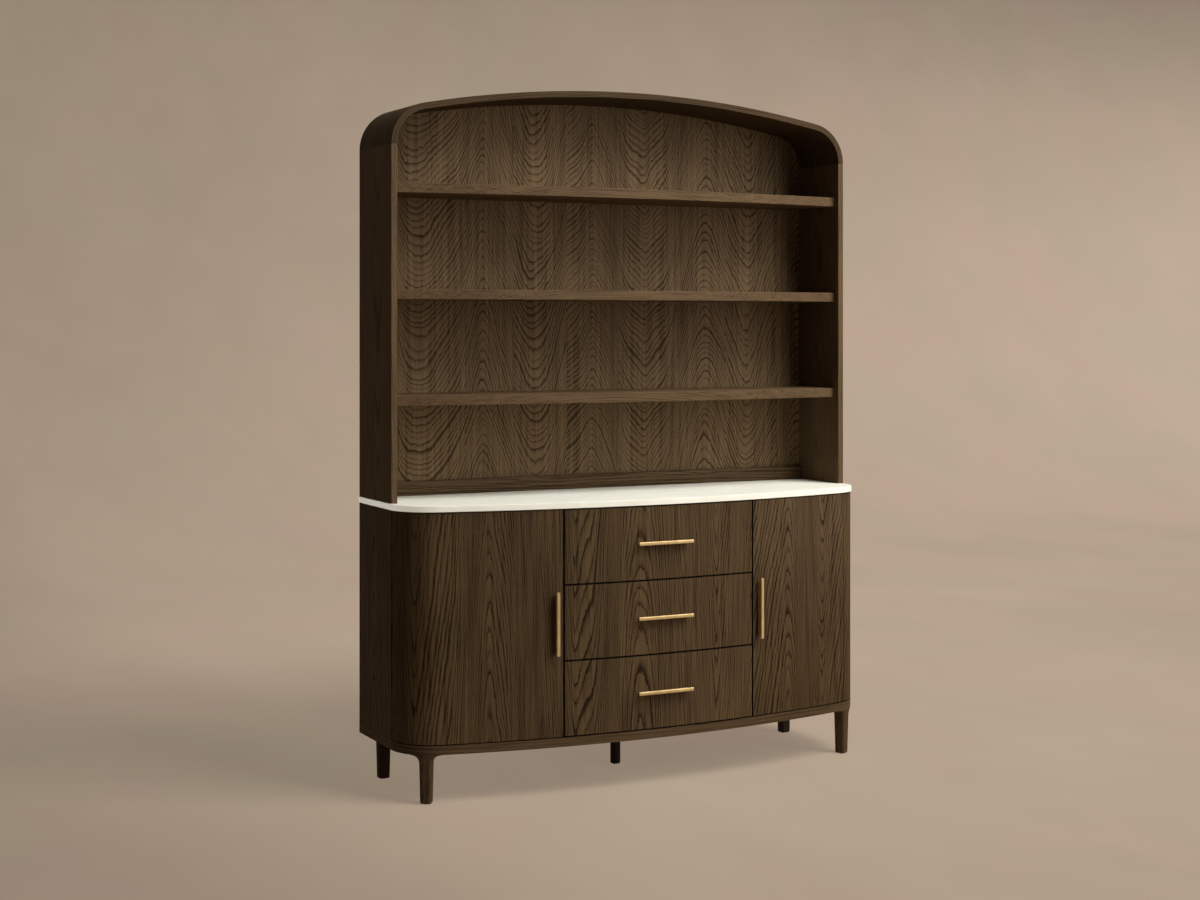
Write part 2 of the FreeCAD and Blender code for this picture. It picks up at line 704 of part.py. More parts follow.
def drawer_pull(index):
    return pull(front_bottom(index) + DRAWER_FRONT_HEIGHT / 2, False)


def runner_span():
    """Rear and front depth of the runners."""
    front = BASE.bow(DRAWER_SPACE_X, DRAWER_FRONT_THICKNESS) - RUNNER_FRONT_AIR
    return front - RUNNER_LENGTH, front


def runner_level(index):
    return front_bottom(index) + DRAWER_BOX_LIFT + RUNNER_LIFT


def channel_section(z):
    """Rolled channel on the left divider, open towards the drawer, with turned-in lips."""
    wall = -DRAWER_SPACE_X
    mouth = wall + CHANNEL_WIDTH
    half = CHANNEL_HEIGHT / 2
    upper = [
        (wall, half), (mouth, half), (mouth, half - CHANNEL_LIP), (mouth - RUNNER_WALL, half - CHANNEL_LIP),
        (mouth - RUNNER_WALL, half - RUNNER_WALL), (wall + RUNNER_WALL, half - RUNNER_WALL),
    ]
    lower = [(x, -height) for x, height in reversed(upper)]
    return [(x, z + height) for x, height in upper + lower]


def rail_section(z):
    """Rolled rail on the drawer side, whose turned-out edges run inside the channel."""
    box = -DRAWER_BOX_X
    tip = -DRAWER_SPACE_X + 2 * RUNNER_WALL
    half = RAIL_HEIGHT / 2
    edge = CHANNEL_HEIGHT / 2 - RUNNER_WALL - RUNNER_CLEARANCE
    upper = [
        (box, half), (tip + RUNNER_WALL, half), (tip + RUNNER_WALL, edge), (tip, edge),
        (tip, half - RUNNER_WALL), (box - RUNNER_WALL, half - RUNNER_WALL),
    ]
    lower = [(x, -height) for x, height in reversed(upper)]
    return [(x, z + height) for x, height in upper + lower]


def runner_pair(profile, index):
    rear, front = runner_span()
    runner = section(profile(runner_level(index)), rear, front)
    return [runner, mirrored(runner)]


def drawer_runners(index):
    return Part.makeCompound(runner_pair(rail_section, index))


def runner_channels():
    pieces = []
    for index in range(len(DRAWER_NAMES)):
        pieces += runner_pair(channel_section, index)
    return Part.makeCompound(pieces)


# Hutch


def hutch_side(side):
    panel = block(-HALF_WIDTH, -HUTCH_INSIDE_X, 0, HUTCH_DEPTH, STONE_TOP, SEAM_Z)
    panel = eased(panel, HUTCH_EDGE, lambda e: not is_level(e, STONE_TOP))
    return on_side(panel, side).cut(hutch_back_panel()).cut(hutch_tenons(HOLE_CLEARANCE))


def hutch_arch():
    """Top bent round both corners, with a slow bow between them."""
    top = band(ARCH, elevation, 0, HUTCH_THICKNESS, Vector(0, -HUTCH_DEPTH, 0))
    top = eased(top, HUTCH_EDGE, lambda e: is_on_front(e, HUTCH_DEPTH))
    return top.cut(hutch_back_space()).cut(hutch_tenons(HOLE_CLEARANCE))


def hutch_back_slab(inset):
    travel = Vector(0, -HUTCH_BACK_THICKNESS, 0)
    panel = outline(ARCH, elevation, inset, STONE_TOP, travel)
    return moved(panel, Vector(0, -HUTCH_BACK_SETBACK, 0))


def hutch_back_space():
    """Groove round the hutch that takes the back panel."""
    return hutch_back_slab(HUTCH_THICKNESS - GROOVE_DEPTH - GLUE_LINE)


def hutch_back_panel():
    return hutch_back_slab(HUTCH_THICKNESS - GROOVE_DEPTH)


def hutch_back_rail():
    rail = block(-HUTCH_INSIDE_X, HUTCH_INSIDE_X, HUTCH_BACK_FRONT, HUTCH_BACK_FRONT + BACK_RAIL_THICKNESS,
                 STONE_TOP, STONE_TOP + BACK_RAIL_HEIGHT)
    return rail.cut(hutch_bolts(HOLE_CLEARANCE))


def shelf_bottom(index):
    """Level of a hutch shelf's underside."""
    return STONE_TOP + BAY_HEIGHT + index * SHELF_PITCH


def hutch_shelf(index):
    """Shelf whose front bows out past the front of the hutch."""
    bottom = shelf_bottom(index)
    x = HUTCH_INSIDE_X
    end = HUTCH_DEPTH - SHELF_SETBACK
    corners = [(-x, end), (-x, HUTCH_BACK_FRONT), (x, HUTCH_BACK_FRONT), (x, end)]
    edges = [line(plan, a, b) for a, b in zip(corners, corners[1:])]
    edges.append(arc(plan, [corners[0], (0, end + SHELF_BOW), corners[3]]))
    shelf = moved(extruded(edges, Vector(0, 0, SHELF_THICKNESS)), Vector(0, 0, bottom))
    shelf = eased(shelf, SHELF_EDGE, lambda e: e.Curve.TypeId == "Part::GeomCircle")
    return shelf.cut(hutch_tenons(HOLE_CLEARANCE))


def hutch_tenons(clearance=0.0):
    """Loose tenons of the shelves, of the joints under the arch and of the hutch's feet."""
    half = TENON_THICKNESS / 2 + clearance
    middle = HALF_WIDTH - HUTCH_THICKNESS / 2
    inner = HUTCH_INSIDE_X - TENON_IN_END - clearance
    outer = HUTCH_INSIDE_X + TENON_IN_SIDE + clearance
    spans = []
    for index in range(len(SHELF_NAMES)):
        z = shelf_bottom(index) + SHELF_THICKNESS / 2
        spans.append((inner, outer, z - half, z + half))
    for level, sunk in ((SEAM_Z, TENON_IN_END), (STONE_TOP, TENON_IN_STONE)):
        upper = level + TENON_IN_END + clearance
        spans.append((middle - half, middle + half, level - sunk - clearance, upper))
    tenons = []
    for x0, x1, bottom, top in spans:
        for depth in TENON_DEPTHS:
            rear = depth - TENON_WIDTH / 2 - clearance
            tenon = block(x0, x1, rear, rear + TENON_WIDTH + 2 * clearance, bottom, top)
            tenons += [tenon, mirrored(tenon)]
    return Part.makeCompound(tenons)


def hutch_bolts(clearance=0.0):
    """Bolts up through the sub-top and the stone into the hutch's back rail."""
    depth = HUTCH_BACK_FRONT + BACK_RAIL_THICKNESS / 2
    x = DIVIDER_X + PANEL_THICKNESS / 2 + HUTCH_BOLT_INSET
    half = HUTCH_BOLT_HEAD / 2
    shank = peg(x, depth, INSIDE_TOP, STONE_TOP + HUTCH_BOLT_IN_RAIL + clearance,
                HUTCH_BOLT_DIAMETER + 2 * clearance)
    head = block(x - half, x + half, depth - half, depth + half,
                 INSIDE_TOP - HUTCH_BOLT_HEAD_THICKNESS, INSIDE_TOP)
    bolt = shank.fuse(head).removeSplitter()
    return Part.makeCompound([bolt, mirrored(bolt)])


def make_parts():
    """Every sub-part by name."""
    parts = {
        "foot_pads": foot_pads(),
        "leg_center": center_leg(),
        "leg_tenons": leg_tenons(),
        "plinth_front_rail": plinth_front_rail(),
        "plinth_rear_rail": plinth_rear_rail(),
        "plinth_stretchers": plinth_stretchers(),
        "base_bottom_panel": base_bottom_panel(),
        "base_sub_top": base_sub_top(),
        "base_back_panel": base_back_panel(),
        "stone_top": stone_top(),
        "cupboard_shelf_battens": shelf_battens(),
        "drawer_runner_channels": runner_channels(),
        "door_pivot_plates": pivot_plates(),
        "door_catches": door_catches(),
        "hutch_arch": hutch_arch(),
        "hutch_back_panel": hutch_back_panel(),
        "hutch_back_rail": hutch_back_rail(),
        "hutch_tenons": hutch_tenons(),
        "hutch_bolts": hutch_bolts(),
    }
    for name, side in SIDES.items():
        parts[f"leg_front_{name}"] = front_leg(side)
        parts[f"leg_rear_{name}"] = rear_leg(side)
        parts[f"plinth_{name}_rail"] = plinth_side_rail(side)
        parts[f"base_{name}_side"] = base_side(side)
        parts[f"{name}_divider"] = divider(side)
        parts[f"{name}_cupboard_shelf"] = cupboard_shelf(side)
        parts[f"{name}_door"] = door(side)
        parts[f"{name}_door_pull"] = door_pull(side)
        parts[f"{name}_door_fittings"] = door_fittings(side)
        parts[f"hutch_{name}_side"] = hutch_side(side)
    for index, name in enumerate(SHELF_NAMES):
        parts[f"hutch_shelf_{name}"] = hutch_shelf(index)
    for index, name in enumerate(DRAWER_NAMES):
        parts[f"{name}_drawer_front"] = drawer_front(index)
        parts[f"{name}_drawer_sides"] = drawer_sides(index)
        parts[f"{name}_drawer_back"] = drawer_back(index)
        parts[f"{name}_drawer_bottom"] = drawer_bottom(index)
        parts[f"{name}_drawer_pull"] = drawer_pull(index)
        parts[f"{name}_drawer_runners"] = drawer_runners(index)
    return parts


os.makedirs("parts", exist_ok=True)
for part_name, shape in make_parts().items():
    shape.exportStep(f"parts/{part_name}.step")
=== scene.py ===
"""Bow-fronted dresser with an arched open hutch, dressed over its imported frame."""

import logging
import math
from contextlib import contextmanager
from dataclasses import dataclass, field
from enum import Enum
from typing import Callable, Iterator, Sequence

import bmesh
import bpy
from mathutils import Matrix, Vector


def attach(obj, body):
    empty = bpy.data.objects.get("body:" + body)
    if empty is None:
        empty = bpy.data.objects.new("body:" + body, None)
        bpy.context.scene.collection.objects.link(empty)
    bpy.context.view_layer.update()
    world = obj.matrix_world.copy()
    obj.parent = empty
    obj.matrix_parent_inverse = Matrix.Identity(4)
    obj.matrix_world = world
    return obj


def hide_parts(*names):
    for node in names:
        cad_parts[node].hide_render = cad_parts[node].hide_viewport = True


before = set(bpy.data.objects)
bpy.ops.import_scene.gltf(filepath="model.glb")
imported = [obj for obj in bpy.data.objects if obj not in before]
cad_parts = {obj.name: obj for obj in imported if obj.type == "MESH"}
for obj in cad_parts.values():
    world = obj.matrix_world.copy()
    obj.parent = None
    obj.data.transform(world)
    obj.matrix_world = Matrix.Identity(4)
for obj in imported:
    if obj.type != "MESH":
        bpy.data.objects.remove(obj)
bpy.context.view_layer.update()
LOG = logging.getLogger("dresser")

Point = Sequence[float]
Colour = tuple[float, float, float]
Stops = Sequence[tuple[float, float]]
Rule = Callable[[Vector], Point]
Wanted = Callable[[Vector, object], bool]

MIRROR = Matrix.Scale(-1, 4, (1, 0, 0))
NEAR = 1e-4
TINY = 1e-6
ALIGNED = 0.99


class Axis(Enum):
    """Direction of a turn or of the wood's grain."""

    X = (1.0, 0.0, 0.0)
    Y = (0.0, 1.0, 0.0)
    Z = (0.0, 0.0, 1.0)


class Side(Enum):
    """Which half of the dresser a piece belongs to."""

    LEFT = -1
    RIGHT = 1

    @property
    def word(self) -> str:
        """Name of the side as it stands in the names of nodes and bodies."""
        return self.name.lower()


class Part(Enum):
    """Kind of mesh part that is picked."""

    POINT = "VERT"
    EDGE = "EDGE"
    FACE = "FACE"


class Work(Enum):
    """What is done to a piece with another."""

    CUT = "DIFFERENCE"
    JOIN = "UNION"
    KEEP_INSIDE = "INTERSECT"


class Tie(Enum):
    """What a tied lamp lights: one thing alone, or all but that thing."""

    ONLY = "INCLUDE"
    ALL_BUT = "EXCLUDE"


# Lines that the case and the hutch follow


@dataclass(frozen=True)
class BowedLine:
    """Outline of straight sides, round corners and one slow bow, in metres.

    Attributes:
        spring: height of the line on which the corners' centres lie.
        corner: radius of the corners.
        tangent: angle that a corner covers.
        bow: radius of the bow.
        bow_centre: height of its centre.
        half_width: half of the width between the sides.
    """

    spring: float
    corner: float
    tangent: float
    bow: float
    bow_centre: float
    half_width: float = 0.875
    bow_steps = 72

    @property
    def corner_x(self) -> float:
        """Distance of a corner's centre from the middle."""
        return self.half_width - self.corner

    @property
    def half_bow(self) -> float:
        """Angle of the bow from the middle to a corner."""
        return math.pi / 2 - self.tangent

    def front(self, x: float, inset: float = 0.0) -> float:
        """Y of the case's bow at x, inset from its face."""
        return self.bow_centre - math.sqrt((self.bow - inset) ** 2 - x * x)

    def sweep(self, piece: "Workpiece", axis: Axis, steps: int) -> None:
        """Draw a picked outline round a corner, the bow and the other corner.

        Args:
            piece: the piece that is being edited.
            axis: direction that the outline is seen in.
            steps: facets round each corner.
        """
        for x, height, angle, facets in ((-self.corner_x, self.spring, self.tangent, steps),
                                         (0, self.bow_centre, 2 * self.half_bow, self.bow_steps),
                                         (self.corner_x, self.spring, self.tangent, steps)):
            centre = (x, height, 0) if axis is Axis.Z else (x, 0, height)
            piece.bend(centre, axis, angle, facets)

    def trace(self, x: float, ahead: float) -> tuple[float, float]:
        """Find where a point lies in the wood.

        Args:
            x: its distance from the middle.
            ahead: its distance from the spring line, on the bow's side.

        Returns:
            Distance round the outline from the middle, and depth below the face.
        """
        side = 1.0 if x >= 0 else -1.0
        half = self.bow * self.half_bow
        far = ahead + abs(self.spring - self.bow_centre)
        turn = math.atan2(abs(x), far)
        if ahead > 0 and turn <= self.half_bow:
            return side * self.bow * turn, self.bow - math.hypot(x, far)
        out = abs(x) - self.corner_x
        if ahead > 0:
            lag = self.tangent - math.atan2(ahead, max(out, TINY))
            return side * (half + self.corner * lag), self.corner - math.hypot(out, ahead)
        return side * (half + self.corner * self.tangent - ahead), self.half_width - abs(x)


CASE = BowedLine(-0.0235, 0.145, math.radians(76.562), 3.286256, 3.031756)
ARCH = BowedLine(2.116, 0.140, math.radians(78.97), 3.9799, -1.6529)


def case_grain(place: Vector) -> Point:
    """Distance round the case, depth below its face, and height."""
    return *CASE.trace(place.x, CASE.spring - place.y), place.z


def band_grain(place: Vector) -> Point:
    """The same for wood that runs round the case."""
    return case_grain(place)[::-1]


def arch_grain(place: Vector) -> Point:
    """Depth from the rear, depth below the arch's face, and distance along it."""
    return place.y, *ARCH.trace(place.x, place.z - ARCH.spring)[::-1]


# Wiring of materials


class Wire:
    """Output in a node tree. Arithmetic on it adds Math nodes."""

    def __init__(self, graph: "Graph", socket: bpy.types.NodeSocket) -> None:
        """Stand for a socket of a graph."""
        self.graph = graph
        self.socket = socket

    def maths(self, operation: str, *others: object) -> "Wire":
        """Add a Math node that takes this value first.

        Args:
            operation: the Math node's operation.
            others: its other numbers or wires.

        Returns:
            The result.
        """
        made = self.graph.node("Math", operation=operation)
        for socket, value in zip(made.inputs, (self, *others)):
            self.graph.feed(socket, value)
        return Wire(self.graph, made.outputs[0])

    def __add__(self, other: object) -> "Wire":
        """This plus another."""
        return self.maths("ADD", other)

    def __sub__(self, other: object) -> "Wire":
        """This less another."""
        return self.maths("SUBTRACT", other)

    def __mul__(self, other: object) -> "Wire":
        """This times another."""
        return self.maths("MULTIPLY", other)

    def fit(self, factor: object, extra: object) -> "Wire":
        """This times a factor, plus an extra."""
        return self.maths("MULTIPLY_ADD", factor, extra)

    def at_most(self, bound: float) -> "Wire":
        """This, held down to a bound."""
        return self.maths("MINIMUM", bound)

    def at_least(self, bound: object) -> "Wire":
        """This, held up to a bound."""
        return self.maths("MAXIMUM", bound)

    def clamped(self) -> "Wire":
        """This result, held between 0 and 1 by its own node."""
        self.socket.node.use_clamp = True
        return self


class Graph:
    """Node tree of a material or of the world."""

    bump_strength = 0.6

    def __init__(self, owner: bpy.types.Material | bpy.types.World) -> None:
        """Empty the owner's tree.

        Args:
            owner: the material or world whose tree it is.
        """
        self.owner = owner
        owner.use_nodes = True
        self.tree = owner.node_tree
        self.tree.nodes.clear()

    def node(self, kind: str, **settings: object) -> bpy.types.Node:
        """Add a node.

        Args:
            kind: the node's type, without the ShaderNode at its start.
            settings: properties of the node by name.

        Returns:
            The new node.
        """
        made = self.tree.nodes.new("ShaderNode" + kind)
        for key, value in settings.items():
            setattr(made, key, value)
        return made

    def feed(self, socket: bpy.types.NodeSocket, value: object) -> None:
        """Link a socket to a wire, or set its value.

        Args:
            socket: the socket that is fed.
            value: a wire, a number, a vector or a colour without alpha.
        """
        if isinstance(value, Wire):
            self.tree.links.new(value.socket, socket)
        else:
            socket.default_value = (*value, 1.0) if socket.type == "RGBA" else value

    def out(self, kind: str, inputs: dict, output: int | str = 0, **settings: object) -> Wire:
        """Add a node, feed it and give one of its outputs.

        Args:
            kind: the node's type, without the ShaderNode at its start.
            inputs: values or wires by the names or numbers of their sockets.
            output: name or number of the output.
            settings: properties of the node by name.

        Returns:
            The output.
        """
        made = self.node(kind, **settings)
        for key, value in inputs.items():
            self.feed(made.inputs[key], value)
        return Wire(self, made.outputs[output])

    def place(self) -> Wire:
        """Coordinates on the object."""
        return self.out("TexCoord", {}, "Object")

    def grain(self) -> Wire:
        """Coordinates that a piece carries: across, depth and along its grain."""
        return self.out("Attribute", {}, "Vector", attribute_name="grain")

    def board_grain(self, along: Axis, face: Axis) -> Wire:
        """Find the grain coordinates of a flat piece from where it stands.

        Args:
            along: direction of the grain.
            face: direction that the broad face looks in.

        Returns:
            Across, depth and along.
        """
        parts = dict(zip(Axis, self.split(self.place())))
        across = next(axis for axis in Axis if axis not in (along, face))
        return self.join(parts[across], parts[face], parts[along])

    def join(self, *numbers: object) -> Wire:
        """Vector from three numbers."""
        return self.out("CombineXYZ", dict(enumerate(numbers)))

    def split(self, vector: Wire, kind: str = "SeparateXYZ") -> list[Wire]:
        """Take a vector or a colour apart.

        Args:
            vector: what is taken apart.
            kind: the node that does it.

        Returns:
            Its three numbers.
        """
        made = self.node(kind)
        self.feed(made.inputs[0], vector)
        return [Wire(self, socket) for socket in made.outputs]

    def noise(self, vector: Wire, scale: Point, detail: float = 2.0, rough: float = 0.5) -> Wire:
        """Wire smooth noise about 0.5.

        Args:
            vector: coordinates that it reads.
            scale: features per metre along each axis.
            detail: octaves.
            rough: weight of the finer octaves.

        Returns:
            The noise.
        """
        scaled = self.out("Mapping", {"Vector": vector, "Scale": scale})
        levels = {"Vector": scaled, "Scale": 1.0, "Detail": detail, "Roughness": rough}
        return self.out("TexNoise", levels, "Fac")

    def sway(self, vector: Wire, scale: Point, detail: float, reach: float) -> Wire:
        """Noise about 0 that is as wide as its reach from side to side."""
        return self.noise(vector, scale, detail).fit(reach, -reach / 2)

    def chance(self, value: Wire) -> list[Wire]:
        """Three fixed numbers between 0 and 1 that change with a value."""
        colour = self.out("TexWhiteNoise", {"W": value}, "Color", noise_dimensions="1D")
        return self.split(colour, "SeparateColor")

    def ramp(self, factor: Wire, stops: Stops) -> Wire:
        """Lead a value along a curve.

        Args:
            factor: the value.
            stops: places on the curve with their levels.

        Returns:
            The level.
        """
        made = self.node("ValToRGB")
        band = made.color_ramp
        while len(band.elements) < len(stops):
            band.elements.new(0.5)
        for element, (place, level) in zip(band.elements, stops):
            element.position = place
            element.color = (level, level, level, 1.0)
        self.feed(made.inputs[0], factor)
        return Wire(self, made.outputs[0])

    def blend(self, factor: object, first: object, second: object, mode: str = "MIX") -> Wire:
        """Colour from first to second by factor."""
        colours = {0: factor, 6: first, 7: second}
        return self.out("Mix", colours, 2, data_type="RGBA", blend_type=mode)

    def shaded(self, colour: Wire, level: Wire) -> Wire:
        """Colour times a level."""
        return self.blend(1.0, colour, self.join(level, level, level), "MULTIPLY")

    def shown(self) -> Wire:
        """Tell rays that show a thing to the camera from those that only light it.

        Returns:
            1 for camera rays, also by way of metal or glass, and 0 for others.
        """
        rays = self.node("LightPath").outputs
        camera, *others = (Wire(self, rays[f"Is {word} Ray"])
                           for word in ("Camera", "Glossy", "Transmission"))
        for ray in others:
            camera = camera.at_least(ray)
        return camera

    def surface(self, colour: Wire, rough: object, height: Wire, depth: float,
                **levels: float) -> None:
        """Close the material with one shader.

        Args:
            colour: base colour.
            rough: roughness.
            height: relief, from 0 to 1.
            depth: metres that the relief stands for.
            levels: further shader sockets by name, with _ for a space.
        """
        relief = {"Strength": self.bump_strength, "Distance": depth, "Height": height}
        inputs = {"Base Color": colour, "Roughness": rough, "Normal": self.out("Bump", relief)}
        inputs.update({key.replace("_", " "): value for key, value in levels.items()})
        self.out_to("OutputMaterial", self.out("BsdfPrincipled", inputs))

    def out_to(self, kind: str, shader: Wire) -> None:
        """Lead a shader to the output."""
        self.feed(self.node(kind).inputs["Surface"], shader)


# Finishes


@dataclass(frozen=True)
class Finish:
    """Finish that is wired as one material."""

    name: str

    def wire(self, graph: Graph) -> None:
        """Wire the finish into a graph."""
        raise NotImplementedError

    def build(self) -> bpy.types.Material:
        """Make the material.

        Returns:
            The material.
        """
        graph = Graph(bpy.data.materials.new(self.name))
        self.wire(graph)
        return graph.owner


@dataclass(frozen=True)
class Oak(Finish):
    """Stained oak: nested cathedral figure, pores, threads and fibres.

    A leaf is one slice of veneer, shift is counted in leaves, and all other lengths are in metres.
    Rings lean along the grain and crown in a leaf's middle, each by a least value and a range,
    flank outwards by spread and flank, and wander with the swirl. A flat board names the
    directions of its grain and its face, and any other piece carries its grain with it. A
    front's edges are darkened, partly as staining and partly as painted shade in the gaps.
    """

    RING_PROFILE = ((0.0, 0.08), (0.05, 0.95), (0.14, 1.0), (0.26, 0.40), (0.48, 0.10), (1.0, 0.0))
    PORE_PROFILE = ((0.0, 1.0), (0.36, 0.9), (0.46, 0.0))
    THREAD_PROFILE = ((0.40, 0.0), (0.49, 1.0), (0.58, 0.0))
    UNEVEN = (5.0, 1.0, 1.0)
    RHYTHM = (26.0, 1.0, 1.0)
    WAVES = (75.0, 75.0, 10.0)
    JAGS = (300.0, 300.0, 50.0)
    PORES = (1500.0, 1500.0, 42.0)
    FIBRES = (900.0, 900.0, 16.0)
    STREAKS = (120.0, 120.0, 2.4)
    THREADS = (125.0, 125.0, 2.0)
    CLOUDS = (9.0, 9.0, 3.0)
    SALT = 0.37
    LEAF_SALT = 31.7
    LEAF_SHIFT = (7.0, 13.0)
    STAINED_AND_SHADED_DEPTH = (0.00008, 0.0192)
    STAIN_AND_SHADE_FADE = 65.0
    STAIN_AND_SHADE_LEFT = 0.42
    RELIEF = 0.00022

    light: Colour = (0.102, 0.064, 0.031)
    dark: Colour = (0.019, 0.0090, 0.0030)
    leaf: float = 0.235
    shift: float = 0.5
    ring: float = 0.0160
    seed: float = 0.0
    lean: tuple[float, float] = (0.11, 0.11)
    crown: tuple[float, float] = (0.010, 0.030)
    spread: float = 2.7
    flank: float = 0.0
    wander: float = 0.070
    swirl: Point = (5.0, 5.0, 2.0)
    bold: float = 0.80
    thread: float = 0.34
    edge_stain_and_gap_shade: float = 0.0
    stain_and_shade_within: float = 9.0
    along: Axis | None = None
    face: Axis | None = None

    def figure(self, graph: Graph) -> tuple[Wire, Wire, Wire]:
        """Wire the growth rings as the knife laid them bare.

        Args:
            graph: the material being wired.

        Returns:
            Ring line from 0 to 1, coordinates within the leaf, and the leaf's own tone.
        """
        source = graph.board_grain(self.along, self.face) if self.along else graph.grain()
        across, depth, along = graph.split(source)
        uneven = graph.noise(graph.join(across, self.seed, 0.0), self.UNEVEN, 1.0)
        leaves = (across + uneven * (self.leaf * 0.9)).fit(1 / self.leaf, self.shift)
        index = leaves.maths("FLOOR")
        first, second, third = graph.chance(index + (self.SALT + self.seed))
        local = (leaves - index - 0.5 + first.fit(0.24, -0.12)) * self.leaf
        run = along * index.maths("FLOORED_MODULO", 2.0).fit(-2.0, 1.0)
        aside, ahead = self.LEAF_SHIFT
        place = graph.join(first.fit(aside, local), depth, second.fit(ahead, run))
        crown = third.fit(self.crown[1], self.crown[0])
        square = local * local
        reach = square.fit(self.spread, crown * crown).maths("SQRT")
        reach = (square * square).fit(self.flank, reach)
        reach = run.fit(second.fit(self.lean[1], self.lean[0]), reach) + depth * 0.7
        for scale, detail, wide in ((self.swirl, 1.5, self.wander),
                                    (self.WAVES, 2.0, self.ring * 0.70),
                                    (self.JAGS, 2.0, self.ring * 0.36)):
            reach = reach + graph.sway(place, scale, detail, wide)
        rhythm = graph.noise(graph.join(reach, self.seed, 0.0), self.RHYTHM, 1.0)
        rings = rhythm.fit(self.ring * 1.9, reach).maths("DIVIDE", self.ring)
        number = rings.maths("FLOOR")
        bold = graph.chance(index.fit(self.LEAF_SALT, number))[0]
        steep = (square * 500.0).at_most(1.0)
        within = (rings - number).maths("POWER", steep.fit(0.9, 1.0))
        return graph.ramp(within, self.RING_PROFILE) * bold.fit(0.60, 0.45), place, third

    def stain(self, graph: Graph) -> Wire:
        """Wire the light left on the edges of a front by staining and by painted gap shade.

        Args:
            graph: the material being wired.

        Returns:
            Share of the light, from 0 to 1.
        """
        across, inner, _ = graph.split(graph.grain())
        outer, deep = self.STAINED_AND_SHADED_DEPTH
        band = inner.maths("GREATER_THAN", outer) * inner.maths("LESS_THAN", deep)
        near = across.maths("ABSOLUTE").maths("LESS_THAN", self.stain_and_shade_within)
        fade = inner.fit(-self.STAIN_AND_SHADE_FADE, 1.0).at_least(self.STAIN_AND_SHADE_LEFT)
        return (band * near * fade).fit(-self.edge_stain_and_gap_shade, 1.0)

    def wire(self, graph: Graph) -> None:
        """Wire the rings with pores, streaks, fibres, threads and tones.

        Args:
            graph: the material being wired.
        """
        line, place, leaf_tone = self.figure(graph)
        pores = graph.ramp(graph.noise(place, self.PORES, 1.0), self.PORE_PROFILE)
        pores = pores * line.fit(0.75, 0.25)
        streak = graph.noise(place, self.STREAKS, 3.0, 0.6)
        thread = graph.ramp(graph.noise(place, self.THREADS, 1.0), self.THREAD_PROFILE)
        cloud = graph.noise(place, self.CLOUDS)
        depth = line * self.bold + pores * 0.30 + streak.fit(1.5, -0.62)
        depth = depth + graph.sway(place, self.FIBRES, 1.0, 0.24)
        depth = (depth + thread.fit(self.thread, self.thread * -0.44)).clamped()
        tone = leaf_tone.fit(0.16, 0.72) + cloud * 0.40
        # darkens the fronts' edges: staining, and painted shade in the gaps between the fronts
        if self.edge_stain_and_gap_shade:
            tone = tone * self.stain(graph)
        colour = graph.shaded(graph.blend(depth, self.light, self.dark), tone)
        relief = line.fit(0.4, pores * 0.6).fit(-1.0, 1.0)
        graph.surface(colour, depth.fit(0.14, 0.56), relief, self.RELIEF,
                      Specular_IOR_Level=0.08)


@dataclass(frozen=True)
class PaleWood(Finish):
    """Straight-grained clear wood of the drawer boxes and tenons."""

    along: Axis
    face: Axis
    light: Colour = (0.40, 0.25, 0.125)
    dark: Colour = (0.27, 0.15, 0.067)

    def wire(self, graph: Graph) -> None:
        """Wire soft rings and fine fibres.

        Args:
            graph: the material being wired.
        """
        place = graph.board_grain(self.along, self.face)
        rings = graph.noise(place, (26.0, 26.0, 0.9))
        fibre = graph.noise(place, (700.0, 700.0, 14.0))
        depth = (rings * 9.0).maths("PINGPONG", 0.5) * 0.9 + fibre.fit(0.5, -0.2)
        graph.surface(graph.blend(depth, self.light, self.dark), fibre.fit(0.2, 0.38), fibre,
                      0.00012, Specular_IOR_Level=0.35)


@dataclass(frozen=True)
class CreamStone(Finish):
    """Honed cream stone with soft clouds, a few darker veins and fine grains."""

    ground: Colour = (0.85, 0.832, 0.725)
    cloud: Colour = (0.91, 0.897, 0.80)
    vein: Colour = (0.74, 0.72, 0.61)
    speck: Colour = (0.79, 0.77, 0.67)

    def wire(self, graph: Graph) -> None:
        """Wire clouds, veins and grains.

        Args:
            graph: the material being wired.
        """
        place = graph.place()
        cloud = graph.noise(place, (3.2, 5.0, 5.0), 5.0, 0.62)
        bent = graph.noise(place, (2.0, 3.0, 3.0), 4.0, 0.6)
        vein = graph.ramp((bent - 0.5).maths("ABSOLUTE"), ((0.0, 1.0), (0.012, 0.45), (0.05, 0.0)))
        speck = graph.noise(place, (420.0, 420.0, 420.0))
        clouded = graph.ramp(cloud, ((0.30, 0.0), (0.72, 1.0)))
        colour = graph.blend(clouded, self.ground, self.cloud)
        colour = graph.blend(vein * 0.35, colour, self.vein)
        colour = graph.blend(speck.fit(0.24, -0.06), colour, self.speck)
        graph.surface(colour, cloud.fit(0.12, 0.55), speck, 0.00005, Specular_IOR_Level=0.15)


@dataclass(frozen=True)
class Metal(Finish):
    """Brushed metal with faint wear. A carried grain turns the brushing with the piece."""

    light: Colour
    dark: Colour
    rough: float
    brush: Point = (900.0, 900.0, 12.0)
    carried: bool = False
    metallic: float = 1.0

    def wire(self, graph: Graph) -> None:
        """Wire brushing and wear.

        Args:
            graph: the material being wired.
        """
        place = graph.grain() if self.carried else graph.place()
        brush = graph.noise(place, self.brush, 2.0, 0.6)
        wear = graph.noise(place, (38.0, 38.0, 38.0), 3.0, 0.6)
        worn = graph.ramp(wear, ((0.35, 0.0), (0.68, 1.0)))
        rough = brush.fit(0.16, wear.fit(0.12, self.rough - 0.14))
        graph.surface(graph.blend(worn, self.light, self.dark), rough, brush, 0.00003,
                      Metallic=self.metallic)


